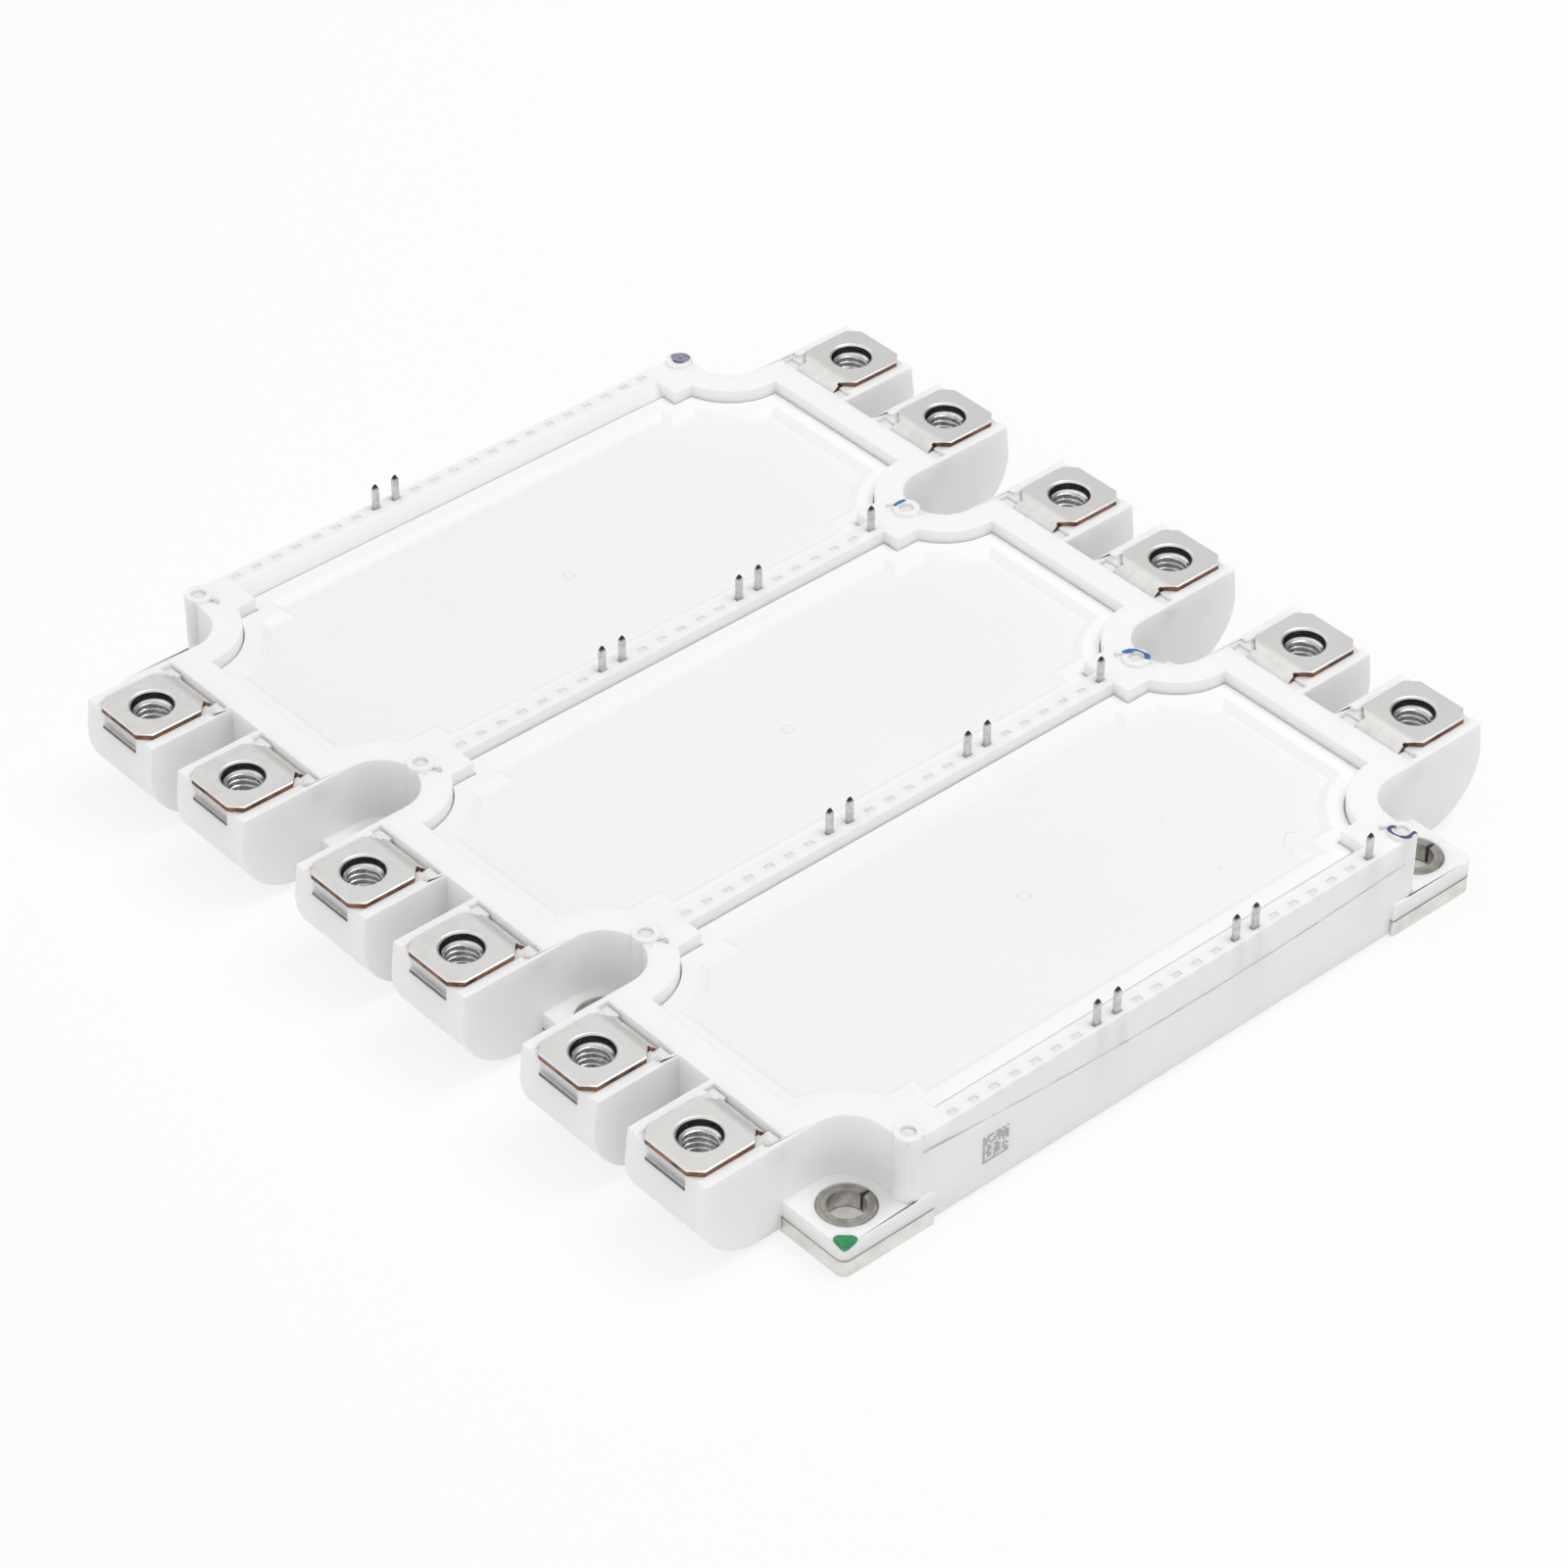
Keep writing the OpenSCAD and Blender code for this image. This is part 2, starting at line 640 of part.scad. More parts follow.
module control_pin(k) {
    row = pin_list[k][0];
    color("silver") translate([pin_row_x[row], place_y(pin_list[k][1]), 0]) {
        intersection() {
            along_y(-pin_w, pin_w) pin_side(pin_t / 2);
            along_x(-pin_t, pin_t) pin_side(pin_w / 2);
        }
        mirror([pin_reach[row] < 0 ? 1 : 0, 0, 0])
            box([0, -pin_w / 2, shelf_z], [pin_foot(row), pin_w / 2, shelf_z + pin_t]);
    }
}

module pin_side(half) {
    polygon([[-half, shelf_z], [half, shelf_z], [half, pin_z - pin_tip], [half / 3, pin_z],
        [-half / 3, pin_z], [-half, pin_z - pin_tip]]);
}

// --------------------------------------------------------------- inner parts

module at_substrate(n) {
    s = floor((n - 1) / 2) - 1;
    y = n % 2 == 1 ? -1 : 1;
    translate([section_x(s), y * substrate_y, 0]) children();
}

module substrate() {
    color("ivory") translate([-substrate_w / 2, -substrate_l / 2, base_t])
        cube([substrate_w, substrate_l, substrate_t]);
}

module circuit(s) {
    color("orange") for (k = [0, 1]) at_substrate(2 * s + 3 + k) for (p = pads)
        box([p[0], p[2], circuit_z - circuit_t], [p[1], p[3], circuit_z]);
}

module switch_chips() {
    color("slategray") for (n = [1:6]) at_substrate(n) for (y = chip_rows)
        translate([switch_x - switch_chip_w / 2, y - switch_chip_w / 2, circuit_z])
            cube([switch_chip_w, switch_chip_w, chip_t]);
}

module diode_chips() {
    color("lightslategray") for (n = [1:6]) at_substrate(n) for (y = chip_rows)
        translate([diode_x - diode_chip_w / 2, y - diode_chip_l / 2, circuit_z])
            cube([diode_chip_w, diode_chip_l, chip_t]);
}

module temperature_sensor() {
    color("black") at_substrate(1) translate([sensor_at[0], sensor_at[1], circuit_z])
        translate([-sensor_size[0] / 2, -sensor_size[1] / 2, 0]) cube(sensor_size);
}

// A looped wire between two points that share X or Y
module wire(a, b) {
    r = norm([b[0] - a[0], b[1] - a[1]]) / 2;
    top = max(a[2], b[2]);
    turn = atan2(b[1] - a[1], b[0] - a[0]);
    translate([(a[0] + b[0]) / 2, (a[1] + b[1]) / 2, top]) rotate(turn) rotate([90, 0, 0])
        rotate_extrude(angle = 180) translate([r, 0]) circle(d = wire_d, $fn = 16);
    for (p = [a, b]) if (top > p[2]) translate(p) cylinder(h = top - p[2], d = wire_d, $fn = 16);
}

module chip_wires() {
    switch_end = switch_x + switch_chip_w / 2 - 1;
    diode_low = diode_x - 1.4;
    diode_high = diode_x + 1.4;
    for (y = chip_rows, w = wire_rows) {
        wire([switch_end, y + w, chip_z], [diode_low, y + w, chip_z]);
        wire([diode_high, y + w, chip_z], [pads[2][0] + 1.6, y + w, circuit_z]);
    }
}

module terminal_wires(s) {
    for (n = [1:12]) if (floor(((n - 1) % 6) / 2) - 1 == s) at_terminal(n) for (x = wire_rows)
        wire([x, foot_y + 1.4, shelf_z + terminal_t], [x, substrate_y + pad_edge - 1.6, circuit_z]);
}

module pin_wires(s) {
    for (p = pin_list) if (pin_section[p[0]] == s) {
        row = p[0];
        foot = pin_row_x[row] + pin_reach[row] * (pin_foot(row) - 0.6);
        pad = section_x(s) + pad_mid(pin_reach[row] > 0 ? 5 : 3);
        wire([foot, place_y(p[1]), shelf_z + pin_t], [pad, place_y(p[1]), circuit_z]);
    }
}

module bond_wires(s) {
    color("lightgray") {
        for (k = [0, 1]) at_substrate(2 * s + 3 + k) chip_wires();
        terminal_wires(s);
        pin_wires(s);
    }
}

// The soft filling: fills a section's cavity up to its level, around all that lies in it
module gel(s) {
    color("lightcyan") difference() {
        union() {
            translate([0, 0, shelf_z]) linear_extrude(gel_z - shelf_z) cavity_outline(s);
            translate([0, 0, base_t]) linear_extrude(shelf_h + eps) floor_outline(s);
        }
        for (k = [0, 1]) at_substrate(2 * s + 3 + k) substrate();
        circuit(s);
        switch_chips();
        diode_chips();
        if (s == -1) temperature_sensor();
        bond_wires(s);
        for (n = [1:12]) if (floor(((n - 1) % 6) / 2) - 1 == s) at_terminal(n) terminal();
        for (k = [0:16]) if (pin_section[pin_list[k][0]] == s) control_pin(k);
    }
}

// ------------------------------------------------------------------ assembly

frame();
base_plate();
for (s = section_ids) lid(s);
for (n = [1:12]) at_terminal(n) color("goldenrod") terminal();
terminal_nuts();
bushings();
for (n = [1:17]) control_pin(n - 1);
for (n = [1:6]) at_substrate(n) substrate();
for (s = section_ids) circuit(s);
switch_chips();
diode_chips();
for (s = section_ids) bond_wires(s);
temperature_sensor();
for (s = section_ids) gel(s);
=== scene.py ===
import json
import math
import random

import bmesh
import bpy
from mathutils import Matrix, Vector, noise


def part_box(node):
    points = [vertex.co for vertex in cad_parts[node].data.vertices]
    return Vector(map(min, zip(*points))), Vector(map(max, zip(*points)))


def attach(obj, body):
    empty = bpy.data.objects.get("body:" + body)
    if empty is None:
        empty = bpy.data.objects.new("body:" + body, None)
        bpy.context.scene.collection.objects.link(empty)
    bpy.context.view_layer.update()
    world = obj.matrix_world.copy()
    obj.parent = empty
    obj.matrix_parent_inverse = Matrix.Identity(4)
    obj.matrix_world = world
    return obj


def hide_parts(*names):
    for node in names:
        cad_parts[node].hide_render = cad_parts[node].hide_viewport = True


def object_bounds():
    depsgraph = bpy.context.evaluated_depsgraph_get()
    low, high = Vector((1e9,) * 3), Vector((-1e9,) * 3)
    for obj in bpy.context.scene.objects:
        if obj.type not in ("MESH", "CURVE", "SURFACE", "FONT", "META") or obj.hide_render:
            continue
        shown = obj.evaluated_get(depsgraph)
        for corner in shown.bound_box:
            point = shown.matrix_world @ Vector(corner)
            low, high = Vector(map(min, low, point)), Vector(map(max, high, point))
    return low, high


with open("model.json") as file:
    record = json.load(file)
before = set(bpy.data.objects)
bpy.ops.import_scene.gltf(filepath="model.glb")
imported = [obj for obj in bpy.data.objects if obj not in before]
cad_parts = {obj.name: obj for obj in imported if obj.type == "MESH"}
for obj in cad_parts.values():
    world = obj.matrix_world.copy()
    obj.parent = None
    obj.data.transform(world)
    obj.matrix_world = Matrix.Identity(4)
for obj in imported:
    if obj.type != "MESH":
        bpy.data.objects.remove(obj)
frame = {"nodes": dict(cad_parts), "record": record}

CAD_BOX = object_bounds()
NODES = frame["nodes"]
MOUNTS = {mount["name"]: mount for mount in frame["record"]["mounts"]}
MM = 0.001


# ---------------------------------------------------------------- sizes

def bolt_pattern(name):
    """Half the spacing of a mount's holes along X and Y, their height and their radius."""
    mount = MOUNTS[name]
    dims = mount["dims"]
    half_x, half_y = dims["spacing_x_mm"] / 2 * MM, dims["spacing_y_mm"] / 2 * MM
    return half_x, half_y, mount["pos_m"][2], dims["hole_r_mm"] * MM


def terminal_place(n):
    """The X of a terminal's hole, and the side of the module that it is on."""
    low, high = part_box(f"terminal_{n}")
    return (low[0] + high[0]) / 2, (1 if low[1] > 0 else -1)


TERMINAL_NUMBERS = range(1, 13)
SCREW_X, SCREW_Y, FLANGE_Z, SLEEVE_IN = bolt_pattern("screw_holes_inner")
POST_X, POST_Y, POST_Z, POST_HOLE_R = bolt_pattern("board_posts_outer")
TERMINAL_Y, HOLE_R = bolt_pattern("terminal_holes_1")[1::2]
SCREW_PITCH = 2 * SCREW_X
SLEEVE_OUT = SLEEVE_IN + 1.55 * MM

# Housing: base plate's edges and top, outer wall, top edge and the lids' sunk panels
FLANGE_X, FLANGE_Y, BASE_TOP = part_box("base_plate")[1]
FLANGE_R = 1.5 * MM
WALL_X = FLANGE_X - 0.8 * MM
BELT_STEP = 0.25 * MM
HOUSING_Z = POST_Z - 0.6 * MM
PANEL_Z = 13.2 * MM

# Control pins: their tips, the outer rows, the grid and the places in use in each row
PIN_TOP = CAD_BOX[1][2]
ROW_X = WALL_X - 1.17 * MM
PIN_PITCH = 3.81 * MM
PIN_PLACES = 22
PINS_USED = [(8, 9), (8, 9, 15, 16, 22), (8, 9, 15, 16, 22), (8, 9, 15, 16, 22)]

# Terminals: a plate with cut corners, shoulders, a narrower strap with a bend, a leg and a foot
TERMINAL_LOW, TERMINAL_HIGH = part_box("terminal_12")
SHEET_T = 1.0 * MM
PLATE_TOP = TERMINAL_HIGH[2]
PLATE_UNDER = PLATE_TOP - SHEET_T
PLATE_HALF = (TERMINAL_HIGH[0] - TERMINAL_LOW[0]) / 2
PLATE_OUT = TERMINAL_HIGH[1] - TERMINAL_Y
PLATE_CHAMFER = 1.8 * MM
HOLE_BREAK = 0.3 * MM
SHOULDER_START, SHOULDER_END = 4.3 * MM, 6.1 * MM
STRAP_HALF, RELIEF_R = 4.2 * MM, 0.35 * MM
BEND_START, BEND_R = 4.8 * MM, 3.5 * MM
BEND_L = BEND_R * math.pi / 2
LEG_Y = TERMINAL_Y - BEND_START - BEND_R
FOOT_TOP, FOOT_R = TERMINAL_LOW[2] + SHEET_T, 0.6 * MM
FOOT_BEND_L = FOOT_R * math.pi / 2
LEG_L = PLATE_TOP - BEND_R - FOOT_TOP - FOOT_R
BLANK_L = BEND_START + BEND_L + LEG_L + FOOT_BEND_L + LEG_Y - TERMINAL_LOW[1] - FOOT_R

# Terminal blocks: the pocket behind the bend with its steps, and the window in the outer face
POCKET_HALF, POCKET_DEEP = 6.95 * MM, 1.75 * MM
POCKET_Z, STEP_Z = 12.95 * MM, 15.6 * MM
WINDOW_W, WINDOW_Z = 8.0 * MM, PLATE_UNDER - 2.6 * MM
WINDOW_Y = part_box("frame")[1][1] - 0.4 * MM

# Each pen mark: name, post, seed, ink, and its path round the post's hole: x, y and width in millimetres
PEN_MARKS = [
    ("ink_arc_near", POST_X, 3.0, "ink_purple",
     [(-0.9, -0.2, 0.4), (-1.35, -0.6, 0.65), (-1.3, -1.3, 0.6), (-0.5, -1.6, 0.45), (0.5, -1.45, 0.35),
      (1.3, -1.1, 0.6), (1.75, -0.5, 0.75), (1.6, 0.4, 0.55), (1.65, 1.1, 0.8)]),
    ("ink_arc_middle", SCREW_X, 5.0, "ink_blue",
     [(-2.0, -0.9, 0.5), (-1.75, -0.3, 0.9), (-1.5, 0.35, 1.0), (-1.2, 1.0, 0.55), (-0.4, 1.35, 0.35),
      (0.35, 1.45, 0.5), (1.1, 1.3, 1.0), (1.5, 0.7, 0.95)]),
    ("ink_dash_middle", -SCREW_X, 7.0, "ink_blue",
     [(-1.5, -1.25, 0.5), (-1.6, -0.4, 0.65), (-1.6, 0.4, 0.65), (-1.45, 1.1, 0.5)]),
]
# The faded spot round the far post's hole, and the scratches on the last lid with their widths
FAR_SPOT = [(-1.78, -0.26), (-1.6, 0.6), (-1.2, 1.25), (-0.3, 1.85), (0.6, 1.75), (1.15, 1.3), (1.3, 0.6),
            (1.0, -0.1), (0.4, -0.6), (-0.4, -0.8), (-1.3, -0.7)]
SCRATCHES = [[(67.6, 34.9, 0.25), (66.6, 36.0, 0.3), (65.6, 37.4, 0.4), (65.4, 38.4, 0.35),
              (66.5, 38.9, 0.2)],
             [(68.0, 35.8, 0.3), (68.5, 35.5, 0.45), (69.1, 35.2, 0.25)],
             [(64.1, 25.6, 0.2), (64.4, 25.3, 0.35), (64.8, 25.2, 0.2)],
             [(50.9, 27.1, 0.2), (51.2, 26.8, 0.3), (51.6, 26.7, 0.2)]]


# ----------------------------------------------------------- node tools
# A value is passed between these tools as a (node, output) pair.

FLOAT, COLOUR = "NodeSocketFloat", "NodeSocketColor"
MIX_MASK, MIX_A, MIX_B, MIX_RESULT = 0, 6, 7, 2


def add(tree, kind, **values):
    """A shader node with its settings and unlinked inputs."""
    node = tree.nodes.new(kind)
    for key, value in values.items():
        if hasattr(node, key):
            setattr(node, key, value)
        else:
            node.inputs[key.replace("_", " ")].default_value = value
    return node


def link(tree, value, node, into):
    """Links a value to a node's input, which is given by its name or place."""
    source, out = value
    tree.links.new(source.outputs[out], node.inputs[into])


def calc(tree, operation, a, b=None, clamp=False):
    """A maths node; a and b are numbers or values."""
    node = add(tree, "ShaderNodeMath", operation=operation, use_clamp=clamp)
    for port, value in ((0, a), (1, b)):
        if isinstance(value, tuple):
            link(tree, value, node, port)
        elif value is not None:
            node.inputs[port].default_value = value
    return node, 0


def ramp(tree, value, low, high, to_low=0.0, to_high=1.0):
    """Maps a value from low..high to to_low..to_high, smoothly."""
    node = add(tree, "ShaderNodeMapRange", interpolation_type="SMOOTHSTEP", clamp=True)
    link(tree, value, node, "Value")
    for name, number in (("From Min", low), ("From Max", high), ("To Min", to_low), ("To Max", to_high)):
        node.inputs[name].default_value = number
    return node, 0


def mix_colour(tree, mask, a, b):
    """Mixes two colours by a mask; a and b are colours or values."""
    node = add(tree, "ShaderNodeMix", data_type="RGBA")
    link(tree, mask, node, MIX_MASK)
    for port, value in ((MIX_A, a), (MIX_B, b)):
        if len(value) == 2:
            link(tree, value, node, port)
        else:
            node.inputs[port].default_value = value + (1.0,)
    return node, MIX_RESULT


def place_in_part(tree):
    """The place on the part, split into X, Y and Z."""
    place = add(tree, "ShaderNodeTexCoord")
    split = add(tree, "ShaderNodeSeparateXYZ")
    link(tree, (place, "Object"), split, 0)
    return split


def effect_group(name, inputs, outputs):
    """An empty node group with named sockets; gives the tree and its ends."""
    group = bpy.data.node_groups.new(name, "ShaderNodeTree")
    for label, kind, value in inputs:
        port = group.interface.new_socket(label, in_out="INPUT", socket_type=kind)
        port.default_value = value
    for label, kind in outputs:
        group.interface.new_socket(label, in_out="OUTPUT", socket_type=kind)
    return group, group.nodes.new("NodeGroupInput"), group.nodes.new("NodeGroupOutput")


def place_group(tree, group, **values):
    node = add(tree, "ShaderNodeGroup", node_tree=group)
    for key, value in values.items():
        node.inputs[key.replace("_", " ")].default_value = value
    return node


# ------------------------------------------------------- shared effects

SKIN_OUTPUTS = [("Colour", COLOUR), ("Roughness", FLOAT), ("Height", FLOAT)]


def make_moulded_skin():
    """Fine satin grain and faint flow shading of a moulded plastic."""
    tree, start, end = effect_group(
        "moulded_skin",
        [("Light", COLOUR, (0.9, 0.9, 0.9, 1)), ("Shade", COLOUR, (0.85, 0.85, 0.85, 1)),
         ("Grain size", FLOAT, 2600.0), ("Flow size", FLOAT, 60.0), ("Roughness", FLOAT, 0.45)],
        SKIN_OUTPUTS)
    place = add(tree, "ShaderNodeTexCoord")
    flow = add(tree, "ShaderNodeTexNoise", Detail=4.0, Roughness=0.55)
    grain = add(tree, "ShaderNodeTexNoise", Detail=2.0, Roughness=0.5)
    for texture, size in ((flow, "Flow size"), (grain, "Grain size")):
        link(tree, (place, "Object"), texture, "Vector")
        link(tree, (start, size), texture, "Scale")
    cloud = ramp(tree, (flow, 0), 0.3, 0.7)
    link(tree, mix_colour(tree, cloud, (start, "Light"), (start, "Shade")), end, "Colour")
    speck = ramp(tree, (grain, 0), 0.2, 0.8, -0.05, 0.05)
    drift = calc(tree, "MULTIPLY", cloud, 0.06)
    rough = calc(tree, "ADD", calc(tree, "ADD", (start, "Roughness"), speck), drift)
    link(tree, rough, end, "Roughness")
    link(tree, (grain, 0), end, "Height")
    return tree


def make_plated_skin():
    """Cloudy stains and fine rolling lines of a plated or bare metal sheet."""
    tree, start, end = effect_group(
        "plated_skin",
        [("Bright", COLOUR, (0.8, 0.8, 0.78, 1)), ("Dull", COLOUR, (0.6, 0.6, 0.58, 1)),
         ("Cloud size", FLOAT, 300.0), ("Line size", FLOAT, 900.0), ("Roughness", FLOAT, 0.32)],
        SKIN_OUTPUTS)
    place = add(tree, "ShaderNodeTexCoord")
    stains = add(tree, "ShaderNodeTexNoise", Detail=5.0, Roughness=0.6)
    link(tree, (place, "Object"), stains, "Vector")
    link(tree, (start, "Cloud size"), stains, "Scale")
    stretch = add(tree, "ShaderNodeMapping")
    stretch.inputs["Scale"].default_value = (4.0, 0.25, 1.0)
    link(tree, (place, "Object"), stretch, "Vector")
    lines = add(tree, "ShaderNodeTexNoise", Detail=3.0, Roughness=0.6)
    link(tree, (stretch, 0), lines, "Vector")
    link(tree, (start, "Line size"), lines, "Scale")
    cloud = calc(tree, "MULTIPLY", ramp(tree, (stains, 0), 0.35, 0.68), 0.75)
    streak = calc(tree, "MULTIPLY", ramp(tree, (lines, 0), 0.3, 0.7), 0.25)
    mask = calc(tree, "ADD", cloud, streak)
    link(tree, mix_colour(tree, mask, (start, "Bright"), (start, "Dull")), end, "Colour")
    rough = calc(tree, "ADD", (start, "Roughness"), calc(tree, "MULTIPLY", mask, 0.14))
    link(tree, rough, end, "Roughness")
    link(tree, (lines, 0), end, "Height")
    return tree


def make_height_band():
    """Mask that is 1 between two heights over the base, with soft ends."""
    tree, start, end = effect_group(
        "height_band",
        [("Low", FLOAT, 0.0), ("High", FLOAT, 0.01), ("Softness", FLOAT, 0.0002)],
        [("Mask", FLOAT)])
    height = (place_in_part(tree), 2)
    softness = (start, "Softness")
    over = calc(tree, "SUBTRACT", height, (start, "Low"))
    under = calc(tree, "SUBTRACT", (start, "High"), height)
    over, under = (calc(tree, "DIVIDE", part, softness, True) for part in (over, under))
    link(tree, calc(tree, "MULTIPLY", over, under), end, "Mask")
    return tree


MOULDED = make_moulded_skin()
PLATED = make_plated_skin()
BAND = make_height_band()


# ------------------------------------------------------------ materials

def moulded(light, shade, roughness, grain=2600.0, flow=60.0):
    """The skin of a moulded plastic or of dried ink."""
    def skin(tree):
        return place_group(tree, MOULDED, Light=light + (1,), Shade=shade + (1,), Grain_size=grain,
                           Flow_size=flow, Roughness=roughness)
    return skin


def plated(bright, dull, roughness, cloud=300.0, lines=900.0):
    """The skin of a plated or bare metal."""
    def skin(tree):
        return place_group(tree, PLATED, Bright=bright + (1,), Dull=dull + (1,), Cloud_size=cloud,
                           Line_size=lines, Roughness=roughness)
    return skin


def side_faces(tree):
    """Mask of the upright faces, where a sheet was cut."""
    facing = add(tree, "ShaderNodeNewGeometry")
    split = add(tree, "ShaderNodeSeparateXYZ")
    link(tree, (facing, "Normal"), split, 0)
    return ramp(tree, calc(tree, "ABSOLUTE", (split, 2)), 0.25, 0.6, 1.0, 0.0)


def nut_mouth_painted_shade(tree, surface):
    """Zinc, with painted shade on a band round the thread's mouth, just under the terminal plate."""
    band = place_group(tree, BAND, Low=PLATE_UNDER - 0.4 * MM, High=PLATE_UNDER + 0.3 * MM, Softness=0.1 * MM)
    # The near-black colour is painted shade under the terminal plate.
    return mix_colour(tree, (band, 0), (surface, "Colour"), (0.03, 0.03, 0.035))


def plate_gap_painted_shade(tree, surface):
    """Plated metal, with a painted shadow line along the top of its sides, in the gap under the plastic
    flange.
    """
    band = place_group(tree, BAND, Low=BASE_TOP - 0.28 * MM, High=BASE_TOP + 0.2 * MM, Softness=0.1 * MM)
    edge = calc(tree, "MULTIPLY", side_faces(tree), (band, 0))
    # The dark colour is painted shade in the gap under the flange.
    return mix_colour(tree, edge, (surface, "Colour"), (0.13, 0.12, 0.1))


def sleeve_paint(tree, surface):
    """Rolled steel, with a fine turned line round each sleeve's rim."""
    split = place_in_part(tree)
    shifted = calc(tree, "MODULO", calc(tree, "ADD", (split, 0), 2 * SCREW_PITCH), SCREW_PITCH)
    x = calc(tree, "SUBTRACT", shifted, SCREW_PITCH / 2)
    y = calc(tree, "SUBTRACT", calc(tree, "ABSOLUTE", (split, 1)), SCREW_Y)
    squares = calc(tree, "ADD", calc(tree, "MULTIPLY", x, x), calc(tree, "MULTIPLY", y, y))
    off_line = calc(tree, "SUBTRACT", calc(tree, "SQRT", squares), SLEEVE_IN + 0.8 * MM)
    line = ramp(tree, calc(tree, "ABSOLUTE", off_line), 0.08 * MM, 0.2 * MM, 0.55, 0.0)
    return mix_colour(tree, line, (surface, "Colour"), (0.3, 0.28, 0.25))


def pin_paint(tree, surface):
    """Dull tin that darkens at the sheared tip."""
    band = place_group(tree, BAND, Low=PIN_TOP - 0.75 * MM, High=2 * PIN_TOP, Softness=0.35 * MM)
    return mix_colour(tree, (band, 0), (surface, "Colour"), (0.06, 0.055, 0.05))


def lid_paint(tree, surface):
    """The sunk panel is slightly greener and darker than the lid's rim."""
    band = place_group(tree, BAND, Low=0.0, High=PANEL_Z + 0.3 * MM, Softness=0.35 * MM)
    return mix_colour(tree, (band, 0), (0.92, 0.925, 0.922), (surface, "Colour"))


def finish_material(name, skin, bump, paint=None, metallic=0.0, **shader_values):
    """A material whose skin group feeds colour, roughness and relief of one shader."""
    material = bpy.data.materials.new(name)
    material.use_nodes = True
    tree = material.node_tree
    tree.nodes.clear()
    out = add(tree, "ShaderNodeOutputMaterial")
    shader = add(tree, "ShaderNodeBsdfPrincipled")
    shader.inputs["Metallic"].default_value = metallic
    for key, value in shader_values.items():
        shader.inputs[key.replace("_", " ")].default_value = value
    surface = skin(tree)
    relief = add(tree, "ShaderNodeBump", Strength=bump, Distance=0.02 * MM)
    link(tree, paint(tree, surface) if paint else (surface, "Colour"), shader, "Base Color")
    link(tree, (surface, "Roughness"), shader, "Roughness")
    link(tree, (surface, "Height"), relief, "Height")
    link(tree, (relief, 0), shader, "Normal")
    link(tree, (shader, 0), out, "Surface")
    return material


